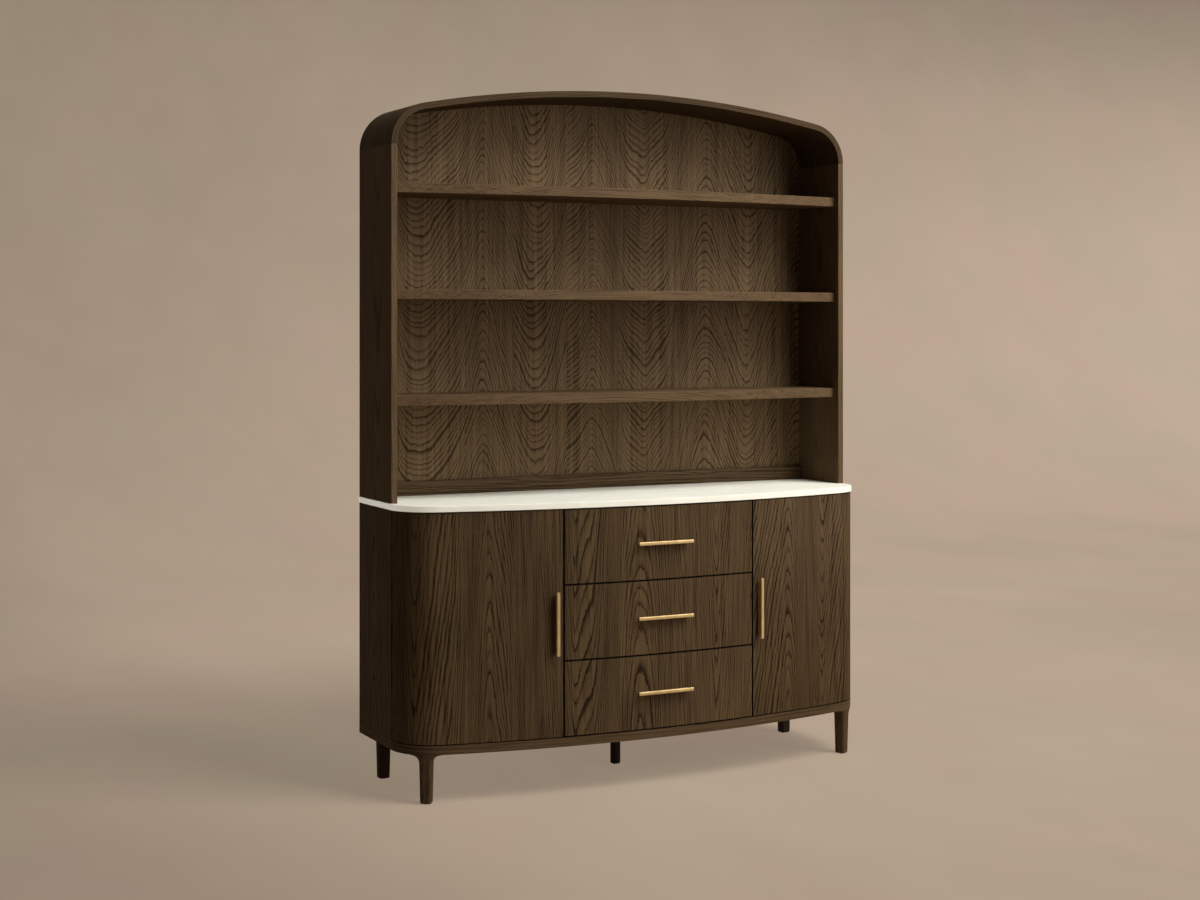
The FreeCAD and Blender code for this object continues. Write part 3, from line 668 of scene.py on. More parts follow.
@dataclass(frozen=True)
class Felt(Finish):
    """Dense dark felt of the foot pads."""

    light: Colour = (0.075, 0.066, 0.056)
    dark: Colour = (0.030, 0.026, 0.022)

    def wire(self, graph: Graph) -> None:
        """Wire the hair."""
        hair = graph.noise(graph.place(), (1600.0, 1600.0, 1600.0), 4.0, 0.75)
        graph.surface(graph.blend(hair, self.dark, self.light), 0.95, hair, 0.0004,
                      Specular_IOR_Level=0.15)


@dataclass(frozen=True)
class MouldedPlastic(Finish):
    """Fine spark-textured plastic of the catches."""

    light: Colour = (0.048, 0.034, 0.025)
    dark: Colour = (0.030, 0.020, 0.014)

    def wire(self, graph: Graph) -> None:
        """Wire the grit."""
        grit = graph.noise(graph.place(), (1200.0, 1200.0, 1200.0))
        graph.surface(graph.blend(grit, self.dark, self.light), grit.fit(0.2, 0.38), grit, 0.00008)


@dataclass(frozen=True)
class Plaster(Finish):
    """Warm plaster of floor and wall, which shows its own colour and keeps part of the shadows.

    Its brightness also carries a painted light falloff over floor and wall.
    """

    rosy: Colour = (0.486, 0.370, 0.283)
    sandy: Colour = (0.462, 0.372, 0.276)
    glow: float = 0.57
    darkest: float = 0.76
    brightest: float = 1.8

    def level(self, graph: Graph) -> Wire:
        """Wire how bright the plaster is from place to place: mottling and a painted light falloff.

        Args:
            graph: the material being wired.

        Returns:
            Factor for its colour.
        """
        place = graph.place()
        cloud = graph.noise(place, (0.55, 0.30, 0.55), 4.0, 0.62)
        stroke = graph.noise(place, (1.8, 1.0, 1.8), 3.0, 0.55)
        x, y, z = graph.split(place)
        # painted light falloff: brighter towards the rear, darker upwards and at the far left,
        # tilted by x and by height
        rear = y.at_most(3.0) * 0.085
        left = (x + 0.7).at_most(0.0) * 0.16
        corner = (x - 3.0) * (z * z)
        painted_light_slope = corner.fit(-0.0031, x * y.fit(0.0085, -0.004) + rear + z * -0.100 + left)
        level = cloud.fit(0.20, 0.830) + stroke * 0.10 + painted_light_slope
        return level.at_least(self.darkest).at_most(self.brightest)

    def wire(self, graph: Graph) -> None:
        """Wire the colour as paint and, for what is shown, partly as its own light.

        Args:
            graph: the material being wired.
        """
        patch = graph.noise(graph.place(), (0.9, 0.6, 0.9), 3.0, 0.6)
        patch = graph.ramp(patch, ((0.36, 0.0), (0.64, 1.0)))
        colour = graph.shaded(graph.blend(patch, self.rosy, self.sandy), self.level(graph))
        paint = graph.out("BsdfDiffuse", {"Color": colour})
        shine = graph.out("Emission", {"Color": colour})
        shader = graph.out("MixShader", {0: graph.shown() * self.glow, 1: paint, 2: shine})
        graph.out_to("OutputMaterial", shader)


class Finishes:
    """Every material of the dresser, each built once when it is first asked for."""

    # the fronts and the plinth darken their edges: staining, and painted shade in the gaps
    FRONTS = Oak("oak_fronts", light=(0.088, 0.0545, 0.0238), dark=(0.015, 0.0070, 0.0024),
                 leaf=0.262, shift=0.28, seed=4.0, lean=(0.06, 0.16), flank=160.0, ring=0.0150,
                 wander=0.052, bold=1.0, edge_stain_and_gap_shade=0.94, stain_and_shade_within=0.950)
    PLINTH = Oak("oak_plinth", leaf=0.5, seed=2.0, lean=(0.03, 0.03), ring=0.0058, wander=0.016,
                 edge_stain_and_gap_shade=0.93)
    LEGS = Oak("oak_legs", light=(0.080, 0.050, 0.026), leaf=0.11, seed=6.0, lean=(0.04, 0.05),
               ring=0.005)
    # darker copy of the leg oak: painted shade on the rear legs, which stand under the case
    REAR_LEGS_PAINTED_SHADE = Oak("oak_rear_legs_painted_shade", light=(0.048, 0.031, 0.017), dark=(0.013, 0.0075, 0.0030),
                    leaf=0.11, seed=6.0, lean=(0.04, 0.05), ring=0.005)
    # darker copy of the leg oak: painted shade on the middle leg, deep under the case
    MIDDLE_LEG_PAINTED_SHADE = Oak("oak_middle_leg_painted_shade", light=(0.034, 0.023, 0.014), dark=(0.012, 0.0070, 0.0040),
                     leaf=0.11, seed=6.5, lean=(0.04, 0.05), ring=0.005)
    BACK = Oak("oak_hutch_back", light=(0.194, 0.127, 0.064), dark=(0.046, 0.0270, 0.0120),
               leaf=0.214, shift=0.06, seed=1.0, along=Axis.Z, face=Axis.Y, lean=(0.20, 0.55),
               crown=(0.020, 0.050), spread=1.6, flank=110.0, ring=0.0150, wander=0.100,
               swirl=(5.0, 5.0, 3.0), bold=0.92, thread=0.08)
    HUTCH = Oak("oak_hutch_frame", light=(0.122, 0.077, 0.039), dark=(0.056, 0.032, 0.0145),
                leaf=0.36, seed=3.0, lean=(0.02, 0.02), ring=0.0060, wander=0.012,
                crown=(0.004, 0.006))
    # darker copy of the hutch frame oak: painted shade along the arched top
    ARCH = Oak("oak_hutch_top_painted_shade", light=(0.068, 0.041, 0.0185), dark=(0.020, 0.011, 0.0045),
               leaf=0.36, seed=3.4, lean=(0.02, 0.02), ring=0.0060, wander=0.012,
               crown=(0.004, 0.006))
    ALONG_X = Oak("oak_boards_level", leaf=0.30, seed=5.0, along=Axis.X, face=Axis.Z,
                  lean=(0.03, 0.05))
    UPRIGHT = Oak("oak_boards_upright", leaf=0.25, seed=7.0, along=Axis.Z, face=Axis.X,
                  lean=(0.05, 0.08))
    REAR = Oak("oak_case_back", leaf=0.25, seed=8.0, along=Axis.Z, face=Axis.Y)
    RAILS = Oak("oak_rails", leaf=0.12, seed=9.0, along=Axis.X, face=Axis.Y, lean=(0.02, 0.03))
    RAILS_DEEP = Oak("oak_rails_deep", leaf=0.12, seed=10.0, along=Axis.Y, face=Axis.X,
                     lean=(0.02, 0.03))
    BOX_SIDES = PaleWood("pale_wood_sides", Axis.Y, Axis.X)
    BOX_BACKS = PaleWood("pale_wood_backs", Axis.X, Axis.Y)
    BOX_BOTTOMS = PaleWood("pale_wood_bottoms", Axis.X, Axis.Z)
    STONE = CreamStone("cream_stone")
    BRASS = Metal("satin_brass", (0.54, 0.378, 0.172), (0.43, 0.290, 0.122), 0.34, carried=True,
                  metallic=0.45)
    BRONZE = Metal("dark_bronze", (0.055, 0.044, 0.034), (0.036, 0.029, 0.023), 0.46)
    STEEL = Metal("zinc_steel", (0.46, 0.46, 0.45), (0.36, 0.36, 0.36), 0.36,
                  (60.0, 900.0, 900.0))
    FELT = Felt("pad_felt")
    PLASTIC = MouldedPlastic("catch_plastic")
    PLASTER = Plaster("studio_plaster")
    _made: dict[str, bpy.types.Material] = {}

    @classmethod
    def get(cls, finish: Finish) -> bpy.types.Material:
        """Look a finish's material up, or build it.

        Args:
            finish: the finish.

        Returns:
            Its material.
        """
        if finish.name not in cls._made:
            cls._made[finish.name] = finish.build()
        return cls._made[finish.name]


# The bench


class Workpiece:
    """A mesh on the bench, shaped with Blender's own tools."""

    spare = 0.01
    doubled = 5e-5
    smooth_below = math.radians(35)

    def __init__(self, thing: bpy.types.Object) -> None:
        """Take an object onto the bench."""
        self.thing = thing

    @staticmethod
    def clear() -> None:
        """Leave nothing selected."""
        bpy.ops.object.select_all(action="DESELECT")

    def hold(self) -> None:
        """Make this the only selected object."""
        self.clear()
        self.thing.select_set(True)
        bpy.context.view_layer.objects.active = self.thing

    @classmethod
    def _added(cls, name: str, primitive: Callable, scale: Point = (1, 1, 1), turn: float = 0.0,
               **settings: object) -> "Workpiece":
        """Add a primitive and settle its place into its mesh.

        Args:
            name: its name.
            primitive: the operator that adds it.
            scale: how far it is stretched along each axis.
            turn: how far it is turned up about the x axis.
            settings: what else the operator is told.

        Returns:
            The primitive.
        """
        cls.clear()
        primitive(**settings)
        thing = bpy.context.object
        thing.name = thing.data.name = name
        thing.rotation_euler = (turn, 0, 0)
        thing.scale = scale
        bpy.ops.object.transform_apply(location=True, rotation=True, scale=True)
        return cls(thing)

    @classmethod
    def block(cls, name: str, low: Point, high: Point) -> "Workpiece":
        """Block between two opposite corners."""
        return cls._added(name, bpy.ops.mesh.primitive_cube_add, extent(low, high), size=1,
                          location=halfway(low, high))

    @classmethod
    def rod(cls, name: str, centre: Point, radius: float, length: float, sides: int) -> "Workpiece":
        """Upright round bar about its centre, with so many facets round it."""
        return cls._added(name, bpy.ops.mesh.primitive_cylinder_add, vertices=sides, radius=radius,
                          depth=length, location=centre)

    @classmethod
    def sheet(cls, name: str, centre: Point, size: Point, turn: float = 0.0) -> "Workpiece":
        """Flat rectangle about its centre, turned up from level."""
        return cls._added(name, bpy.ops.mesh.primitive_plane_add, (*size, 1), turn, size=1,
                          location=centre)

    @classmethod
    def section(cls, name: str, low: Point, high: Point) -> "Workpiece":
        """Make the open outline of a rectangle, as the start of a sweep.

        Args:
            name: its name.
            low: its lowest corner.
            high: the opposite corner, at the same depth or the same height.

        Returns:
            The outline.
        """
        width, depth, height = extent(low, high)
        size, turn = ((width, height), math.pi / 2) if depth == 0 else ((width, depth), 0.0)
        piece = cls.sheet(name, halfway(low, high), size, turn)
        with piece.edit():
            bpy.ops.mesh.delete(type="ONLY_FACE")
        return piece

    @classmethod
    def line(cls, name: str, low: Point, high: Point) -> "Workpiece":
        """Make a straight line, as the start of a sweep.

        Args:
            name: its name.
            low: one end.
            high: the other end, at the same x.

        Returns:
            The line.
        """
        piece = cls.section(name, low, (high[0] + cls.spare, *high[1:]))
        with piece.edit():
            piece.pick(Part.POINT, lambda at, point: at.x > low[0] + cls.spare / 2)
            bpy.ops.mesh.delete(type="VERT")
        return piece

    @contextmanager
    def edit(self) -> Iterator[None]:
        """Edit the mesh, all of it picked at first."""
        self.hold()
        bpy.ops.object.mode_set(mode="EDIT")
        bpy.ops.mesh.select_mode(type="VERT")
        bpy.ops.mesh.select_all(action="SELECT")
        try:
            yield
        finally:
            bpy.ops.object.mode_set(mode="OBJECT")

    def pick(self, kind: Part, wanted: Wanted) -> None:
        """Pick parts of the mesh while it is being edited.

        Args:
            kind: which parts are looked at.
            wanted: tells from a part's middle and the part itself if it is picked.
        """
        bpy.ops.mesh.select_mode(type=kind.value)
        bpy.ops.mesh.select_all(action="DESELECT")
        mesh = bmesh.from_edit_mesh(self.thing.data)
        for part in {Part.POINT: mesh.verts, Part.EDGE: mesh.edges, Part.FACE: mesh.faces}[kind]:
            points = [part] if kind is Part.POINT else part.verts
            if wanted(sum((point.co for point in points), Vector()) / len(points), part):
                part.select_set(True)
        mesh.select_flush_mode()
        bmesh.update_edit_mesh(self.thing.data)

    @staticmethod
    def run(reach: Point) -> None:
        """Draw the picked outline out along a straight line."""
        bpy.ops.mesh.extrude_region_move(TRANSFORM_OT_translate={"value": reach})

    @staticmethod
    def bend(centre: Point, axis: Axis, angle: float, steps: int) -> None:
        """Draw the picked outline round an axis, anticlockwise for a positive angle."""
        bpy.ops.mesh.spin(steps=steps, angle=-angle, center=centre, axis=axis.value)

    def close(self) -> "Workpiece":
        """Merge doubled points, close the ends and turn every face outwards.

        Returns:
            This piece.
        """
        with self.edit():
            bpy.ops.mesh.remove_doubles(threshold=self.doubled)
            bpy.ops.mesh.fill_holes(sides=0)
            bpy.ops.mesh.select_all(action="SELECT")
            bpy.ops.mesh.normals_make_consistent(inside=False)
        return self

    def trim(self, place: Point, outwards: Point) -> "Workpiece":
        """Saw off what lies outside a plane and close the cut.

        Args:
            place: a point of the plane.
            outwards: direction of what is sawn off.

        Returns:
            This piece.
        """
        with self.edit():
            bpy.ops.mesh.bisect(plane_co=place, plane_no=outwards, use_fill=True, clear_outer=True)
        return self

    def _modified(self, kind: str, **settings: object) -> "Workpiece":
        """Apply one modifier.

        Args:
            kind: the modifier's type.
            settings: its properties by name.

        Returns:
            This piece.
        """
        self.hold()
        modifier = self.thing.modifiers.new("work", kind)
        for key, value in settings.items():
            setattr(modifier, key, value)
        bpy.ops.object.modifier_apply(modifier=modifier.name)
        return self

    def ease(self, width: float, segments: int = 2, angle: float = 40.0) -> "Workpiece":
        """Ease every edge sharper than an angle in degrees."""
        return self._modified("BEVEL", width=width, segments=segments, limit_method="ANGLE",
                              angle_limit=math.radians(angle))

    def round_edges(self, wanted: Wanted, width: float, segments: int) -> "Workpiece":
        """Round chosen edges.

        Args:
            wanted: tells from an edge's middle and the edge itself if it is rounded.
            width: radius of the rounding.
            segments: facets round it.

        Returns:
            This piece.
        """
        with self.edit():
            self.pick(Part.EDGE, wanted)
            bpy.ops.mesh.bevel(offset=width, segments=segments, affect="EDGES")
        return self

    def worked_with(self, tool: "Workpiece", work: Work) -> "Workpiece":
        """Work this piece with another, which is used up.

        Args:
            tool: the other piece.
            work: what is done with it.

        Returns:
            This piece.
        """
        self._modified("BOOLEAN", object=tool.thing, operation=work.value, solver="EXACT")
        tool.drop()
        return self

    def smooth(self) -> "Workpiece":
        """Shade round surfaces smooth and keep corners crisp.

        Returns:
            This piece.
        """
        self.hold()
        bpy.ops.object.shade_smooth_by_angle(angle=self.smooth_below)
        return self._modified("WEIGHTED_NORMAL", keep_sharp=True, mode="FACE_AREA")

    def copy(self, name: str, place: Matrix = Matrix()) -> "Workpiece":
        """Copy with its own mesh, moved by a matrix.

        Args:
            name: the copy's name.
            place: where the copy goes.

        Returns:
            The copy.
        """
        thing = self.thing.copy()
        thing.data = self.thing.data.copy()
        thing.name = thing.data.name = name
        bpy.context.collection.objects.link(thing)
        twin = Workpiece(thing)
        twin.hold()
        thing.matrix_world = place
        bpy.ops.object.transform_apply(location=True, rotation=True, scale=True)
        if place.determinant() < 0:
            with twin.edit():
                bpy.ops.mesh.normals_make_consistent(inside=False)
        return twin

    def drop(self) -> None:
        """Clear this off the bench."""
        bpy.data.objects.remove(self.thing, do_unlink=True)

    def lay_grain(self, rule: Rule) -> "Workpiece":
        """Store where each point lies in the wood.

        Args:
            rule: finds across, depth and along from a point.

        Returns:
            This piece.
        """
        mesh = self.thing.data
        store = mesh.attributes.get("grain")
        store = store or mesh.attributes.new("grain", "FLOAT_VECTOR", "POINT")
        for index, vertex in enumerate(mesh.vertices):
            store.data[index].vector = rule(vertex.co)
        return self

    def finish(self, finish: Finish, *nodes: str, slot: str = "oak", body: str = "carcass") -> None:
        """Dress the piece and fit it to its body.

        Args:
            finish: the finish it gets.
            nodes: the solids that it stands for.
            slot: not used.
            body: the body that it moves with.
        """
        self.thing.data.materials.clear()
        self.thing.data.materials.append(Finishes.get(finish))
        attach(self.thing, body)
        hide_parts(*nodes)
        LOG.info("%s: %d faces on %s", self.thing.name, len(self.thing.data.polygons), body)


def halfway(low: Point, high: Point) -> list[float]:
    """Middle between two points."""
    return [(a + b) / 2 for a, b in zip(low, high)]


def extent(low: Point, high: Point) -> list[float]:
    """Size between two opposite corners."""
    return [b - a for a, b in zip(low, high)]


def span(edge: bmesh.types.BMEdge) -> Vector:
    """Way from one end of an edge to the other."""
    return edge.verts[0].co - edge.verts[1].co


def is_upright(edge: bmesh.types.BMEdge) -> bool:
    """True for an edge that stands straight up."""
    return span(edge).xy.length < NEAR / 10 and abs(span(edge).z) > NEAR


def is_below(edge: bmesh.types.BMEdge, height: float) -> bool:
    """True for an edge that lies at a height or below it."""
    return max(point.co.z for point in edge.verts) < height + NEAR


def follow_case(piece: Workpiece, rear: float, steps: int) -> None:
    """Draw a picked outline along the case, from its left rear edge to the right one.

    Args:
        piece: the piece that is being edited.
        rear: Y at which it starts and ends.
        steps: facets round each corner.
    """
    piece.run((0, CASE.spring - rear, 0))
    CASE.sweep(piece, Axis.Z, steps)
    piece.run((0, rear - CASE.spring, 0))


def swept_front(name: str, thickness: float, low: float, high: float, steps: int, bow: float,
                bow_steps: int) -> Workpiece:
    """Sweep a front from the left spring line round the corner and along the bow.

    Args:
        name: its name.
        thickness: its thickness.
        low: height of its lower edge.
        high: height of its upper edge.
        steps: facets round the corner.
        bow: angle of the bow that it covers.
        bow_steps: facets along the bow.

    Returns:
        The closed front.
    """
    x = CASE.half_width
    piece = Workpiece.section(name, (-x, CASE.spring, low), (-x + thickness, CASE.spring, high))
    with piece.edit():
        piece.bend((-CASE.corner_x, CASE.spring, 0), Axis.Z, CASE.tangent, steps)
        piece.bend((0, CASE.bow_centre, 0), Axis.Z, bow, bow_steps)
    return piece.close()


def side_board(name: str, side: Side, thickness: float, low: Point, high: Point) -> Workpiece:
    """Board flush with a side of the case, between two corners given by Y and Z."""
    x = sorted(side.value * (CASE.half_width - inset) for inset in (0, thickness))
    return Workpiece.block(name, (x[0], *low), (x[1], *high))


# Sub-assemblies


@dataclass
class Plinth:
    """Band under the case, with four square legs, a round middle leg and their brackets."""

    bottom: float = 0.158
    top: float = 0.188
    depth: float = 0.060
    rear: float = 0.2185
    band_edge: float = 0.0006
    leg_top: float = 0.043
    leg_foot: float = 0.038
    leg_edge: float = 0.0007
    floor: float = 0.002
    foot_edge: float = 0.004
    bracket: float = 0.026
    lip: float = 0.002
    corner: float = 0.011
    spare: float = 0.02
    front_angle: float = math.radians(58)
    rear_leg: tuple[float, float] = (0.7975, 0.257)
    middle_leg_painted_shade: tuple[float, float] = (0.0, 0.0935)
    middle_radius: float = 0.0175
    middle_edge: float = 0.003

    def band(self) -> None:
        """Sweep the band round the sides, corners and bow."""
        x = CASE.half_width
        piece = Workpiece.section("plinth_band", (-x, self.rear, self.bottom),
                                  (-x + self.depth, self.rear, self.top))
        with piece.edit():
            follow_case(piece, self.rear, steps=24)
        piece.close().ease(self.band_edge).smooth()
        piece.lay_grain(band_grain)
        piece.finish(Finishes.PLINTH, "plinth_front_rail", "plinth_left_rail", "plinth_right_rail")

    def leg(self) -> Workpiece:
        """Model a square tapered leg that flares into two hollow brackets.

        Returns:
            The leg, about the upright through the middle.
        """
        half, spare = self.leg_top / 2, self.spare
        reach, low = half + self.bracket, self.bottom - self.bracket - self.lip
        piece = Workpiece.line("leg", (-half, -half, self.floor), (-half, half, self.floor))
        with piece.edit():
            piece.run((0, 0, low - self.floor))
            piece.bend((-reach, 0, low), Axis.Y, -math.pi / 2, steps=20)
            piece.run((-spare, 0, 0))
            piece.run((0, 0, self.lip + spare))
            piece.run((2 * (reach + spare), 0, 0))
            piece.run((0, 0, -self.lip - spare))
            piece.run((-spare, 0, 0))
            piece.bend((reach, 0, low), Axis.Y, -math.pi / 2, steps=20)
            piece.run((0, 0, self.floor - low))
            piece.run((-2 * half, 0, 0))
        with piece.close().edit():
            bpy.ops.mesh.bisect(plane_co=(0, 0, low), plane_no=(0, 0, 1))
            piece.pick(Part.POINT, lambda at, point: at.z < self.floor + NEAR)
            taper = self.leg_foot / self.leg_top
            bpy.ops.transform.resize(value=(taper, taper, 1))
        margin = 1e-3
        piece.round_edges(lambda at, edge: abs(span(edge).y) < self.foot_edge
                          and margin < abs(at.x) < reach + spare - margin, self.corner, segments=6)
        piece.round_edges(lambda at, edge: is_below(edge, self.floor), self.foot_edge, segments=4)
        for place, outwards in (((0, 0, self.bottom), (0, 0, 1)), ((reach, 0, 0), (1, 0, 0)),
                                ((-reach, 0, 0), (-1, 0, 0))):
            piece.trim(place, outwards)
        return piece

    def stand(self, piece: Workpiece, finish: Finish, node: str) -> None:
        """Ease the edges of a square leg in its place and dress it."""
        piece.ease(self.leg_edge, angle=50).smooth()
        piece.lay_grain(tuple).finish(finish, node)

    def legs(self) -> None:
        """Stand the square legs in their places, the front ones cut to the corner's round."""
        pattern = self.leg()
        radius = CASE.corner - self.leg_top / 2
        for side in Side:
            turn = Matrix.Rotation(side.value * (math.pi / 2 - self.front_angle), 4, "Z")
            x = side.value * (CASE.corner_x + radius * math.cos(self.front_angle))
            y = CASE.spring - radius * math.sin(self.front_angle)
            place = Matrix.Translation((x, y, 0)) @ turn
            piece = pattern.copy(f"{side.word}_front_leg", place)
            shell = Workpiece.rod("corner", (side.value * CASE.corner_x, CASE.spring, 0.1),
                                  CASE.corner, length=0.3, sides=256)
            piece.worked_with(shell, Work.KEEP_INSIDE)
            self.stand(piece, Finishes.LEGS, f"leg_front_{side.word}")
            # the rear legs take the leg oak darkened by painted shade
            place = Matrix.Translation((side.value * self.rear_leg[0], self.rear_leg[1], 0))
            self.stand(pattern.copy(f"{side.word}_rear_leg", place), Finishes.REAR_LEGS_PAINTED_SHADE,
                       f"leg_rear_{side.word}")
        pattern.drop()

    def middle(self) -> None:
        """Turn the round leg under the middle."""
        length = self.bottom - self.floor
        centre = (*self.middle_leg_painted_shade, self.floor + length / 2)
        piece = Workpiece.rod("middle_leg_painted_shade", centre, self.middle_radius, length, sides=72)
        piece.round_edges(lambda at, edge: is_below(edge, self.floor), self.middle_edge,
                          segments=4)
        # the middle leg takes the leg oak darkened by painted shade
        piece.smooth().lay_grain(tuple).finish(Finishes.MIDDLE_LEG_PAINTED_SHADE, "leg_center")

    def build(self) -> None:
        """Make the band and all legs."""
        self.band()
        self.legs()
        self.middle()


@dataclass
class Pull:
    """Flat satin bar on a thin web, modelled once and fitted to each front."""

    length: float = 0.206
    width: float = 0.0122
    thickness: float = 0.0074
    rounding: float = 0.003
    edge: float = 0.0008
    projection: float = 0.024
    web: float = 0.005
    web_edge: float = 0.0005
    web_sunk: float = 0.004
    setback: float = 0.010
    inset: float = 0.024
    pattern: Workpiece | None = field(default=None, repr=False)

    def build(self) -> "Pull":
        """Model the pull level across the middle at height 0.

        Returns:
            This pull, with its pattern on the bench.
        """
        front = CASE.front(0) - self.projection
        half = self.length / 2
        bar = Workpiece.block("pull", (-half, front, -self.width / 2),
                              (half, front + self.thickness, self.width / 2))
        bar.round_edges(lambda at, edge: abs(span(edge).x) > self.length / 2, self.rounding,
                        segments=5)
        bar.ease(self.edge, angle=50)
        half -= self.setback
        web = Workpiece.block("web", (-half, front + self.thickness / 2, -self.web / 2),
                              (half, CASE.front(half, self.web_sunk), self.web / 2))
        web.ease(self.web_edge)
        self.pattern = bar.worked_with(web, Work.JOIN).smooth()
        self.pattern.lay_grain(lambda p: (p.z, p.y, p.x))
        return self

    def fit(self, name: str, height: float, body: str, side: Side | None = None) -> None:
        """Fit one pull.

        Args:
            name: its name, also the solid's.
            height: of its middle.
            body: the front that carries it.
            side: the door's side, or None on a drawer.
        """
        place = Matrix.Translation((0, 0, height))
        if side:
            swing = math.asin((Door.edge + self.inset) / CASE.bow) * side.value
            centre = Matrix.Translation((0, CASE.bow_centre, 0))
            place = centre @ Matrix.Rotation(swing, 4, "Z") @ centre.inverted() @ place
            place = place @ Matrix.Rotation(math.pi / 2, 4, "Y")
        piece = self.pattern.copy(name + "_bar", place)
        piece.finish(Finishes.BRASS, name, slot="brass", body=body)


@dataclass
class Door:
    """Bent door round the corner, with a half-round hinge edge and recesses for its bushes."""

    side: Side
    thickness: float = 0.020
    bottom: float = 0.191
    top: float = 0.929
    edge: float = 0.3607
    rounding: float = 0.0015
    bow_sweep: float = math.radians(8)
    hinge_angle: float = math.radians(4.887)
    bush: float = 0.0122
    bush_depth: float = 0.0141
    spare: float = 0.01

    def pattern(self) -> Workpiece:
        """Sweep the left door round the corner and the bow, and shape its hinge edge.

        Returns:
            The left door.
        """
        piece = swept_front("door", self.thickness, self.bottom, self.top, steps=32,
                            bow=self.bow_sweep, bow_steps=24)
        piece.trim((-self.edge, 0, 0), (1, 0, 0))
        piece.round_edges(lambda at, edge: is_upright(edge) and at.x > -self.edge - NEAR,
                          self.rounding, segments=2)
        axis = Vector((-CASE.corner_x, CASE.spring, 0))
        outwards = Vector((-math.cos(self.hinge_angle), -math.sin(self.hinge_angle), 0))
        back = Vector((outwards.y, -outwards.x, 0))
        piece.trim(axis, back)
        radius = self.thickness / 2
        pin = axis + outwards * (CASE.corner - radius)
        with piece.edit():
            piece.pick(Part.FACE, lambda at, face: face.normal.dot(back) > ALIGNED
                       and (at - pin).dot(back) > -NEAR)
            piece.run(back * (radius - NEAR / 10))
        tip = (pin + back * radius).dot(back) - 10 * NEAR
        piece.round_edges(lambda at, edge: is_upright(edge) and at.dot(back) > tip,
                          radius - NEAR / 5, segments=10)
        piece.ease(self.rounding, angle=50)
        self.let_in_bushes(piece, pin)
        return piece.smooth()

    def let_in_bushes(self, piece: Workpiece, pin: Vector) -> None:
        """Cut a square recess round the pin at either end of the door.

        Args:
            piece: the door.
            pin: a point of the pins' axis.
        """
        half = self.bush / 2
        for low in (self.bottom - self.spare, self.top - self.bush_depth):
            plug = Workpiece.block("plug", (pin.x - half, pin.y - half, low),
                                   (pin.x + half, pin.y + half, low + self.bush_depth + self.spare))
            piece.worked_with(plug, Work.CUT)

    def build(self, pattern: Workpiece, pull: Pull) -> None:
        """Make the door from the pattern and fit its pull.

        Args:
            pattern: the left door.
            pull: the pull that is copied.
        """
        name = f"{self.side.word}_door"
        place = MIRROR if self.side is Side.RIGHT else Matrix()
        piece = pattern.copy(name + "_panel", place)
        piece.lay_grain(case_grain).finish(Finishes.FRONTS, name, body=name)
        pull.fit(name + "_pull", (self.bottom + self.top) / 2, name, self.side)


@dataclass
class Drawers:
    """Three bowed drawer fronts cut from one run of veneer, and their pulls."""

    names: tuple[str, ...] = ("lower", "middle", "upper")
    half_width: float = 0.3563
    height: float = 0.2434
    pitch: float = 0.247
    bottom: float = 0.1913
    thickness: float = 0.020
    rounding: float = 0.0015

    def front(self) -> Workpiece:
        """Sweep the lowest front along the bow and saw it to its width.

        Returns:
            The front.
        """
        piece = swept_front("front", self.thickness, self.bottom, self.bottom + self.height,
                            steps=8, bow=2 * CASE.half_bow, bow_steps=64)
        for sign in (-1, 1):
            piece.trim((sign * self.half_width, 0, 0), (sign, 0, 0))
        return piece.ease(self.rounding).smooth()

    def build(self, pull: Pull) -> None:
        """Make the fronts and fit the pulls.

        Args:
            pull: the pull that is copied.
        """
        pattern = self.front()
        for index, word in enumerate(self.names):
            rise = index * self.pitch
            piece = pattern.copy(f"{word}_drawer_face", Matrix.Translation((0, 0, rise)))
            piece.lay_grain(case_grain)
            piece.finish(Finishes.FRONTS, f"{word}_drawer_front", body=f"{word}_drawer")
            middle = self.bottom + rise + self.height / 2
            pull.fit(f"{word}_drawer_pull", middle, f"{word}_drawer")
        pattern.drop()


@dataclass
class Case:
    """Side panels and stone slab of the base."""

    thickness: float = 0.022
    side_front: float = -0.022
    side_edge: float = 0.0007
    rear: float = 0.2785
    bottom: float = 0.188
    top: float = 0.932
    stone: float = 0.020
    overhang: float = 0.004
    stone_edge: float = 0.002

    def sides(self) -> None:
        """Plane the two side panels."""
        for side in Side:
            piece = side_board(f"{side.word}_case_side", side, self.thickness,
                               (self.side_front, self.bottom), (self.rear, self.top))
            piece.ease(self.side_edge).smooth().lay_grain(case_grain)
            piece.finish(Finishes.FRONTS, f"base_{side.word}_side")

    def slab(self) -> bpy.types.Object:
        """Sweep the slab's edge and close it above and below.

        Returns:
            The slab.
        """
        x = CASE.half_width + self.overhang
        piece = Workpiece.line("stone_slab", (-x, self.rear, self.top),
                               (-x, self.rear, self.top + self.stone))
        with piece.edit():
            follow_case(piece, self.rear, steps=32)
            piece.run((-2 * x, 0, 0))
        piece.close().ease(self.stone_edge, segments=4).smooth()
        piece.finish(Finishes.STONE, "stone_top", slot="stone")
        return piece.thing

    def build(self) -> bpy.types.Object:
        """Make the sides and the slab, and return the slab."""
        self.sides()
        return self.slab()


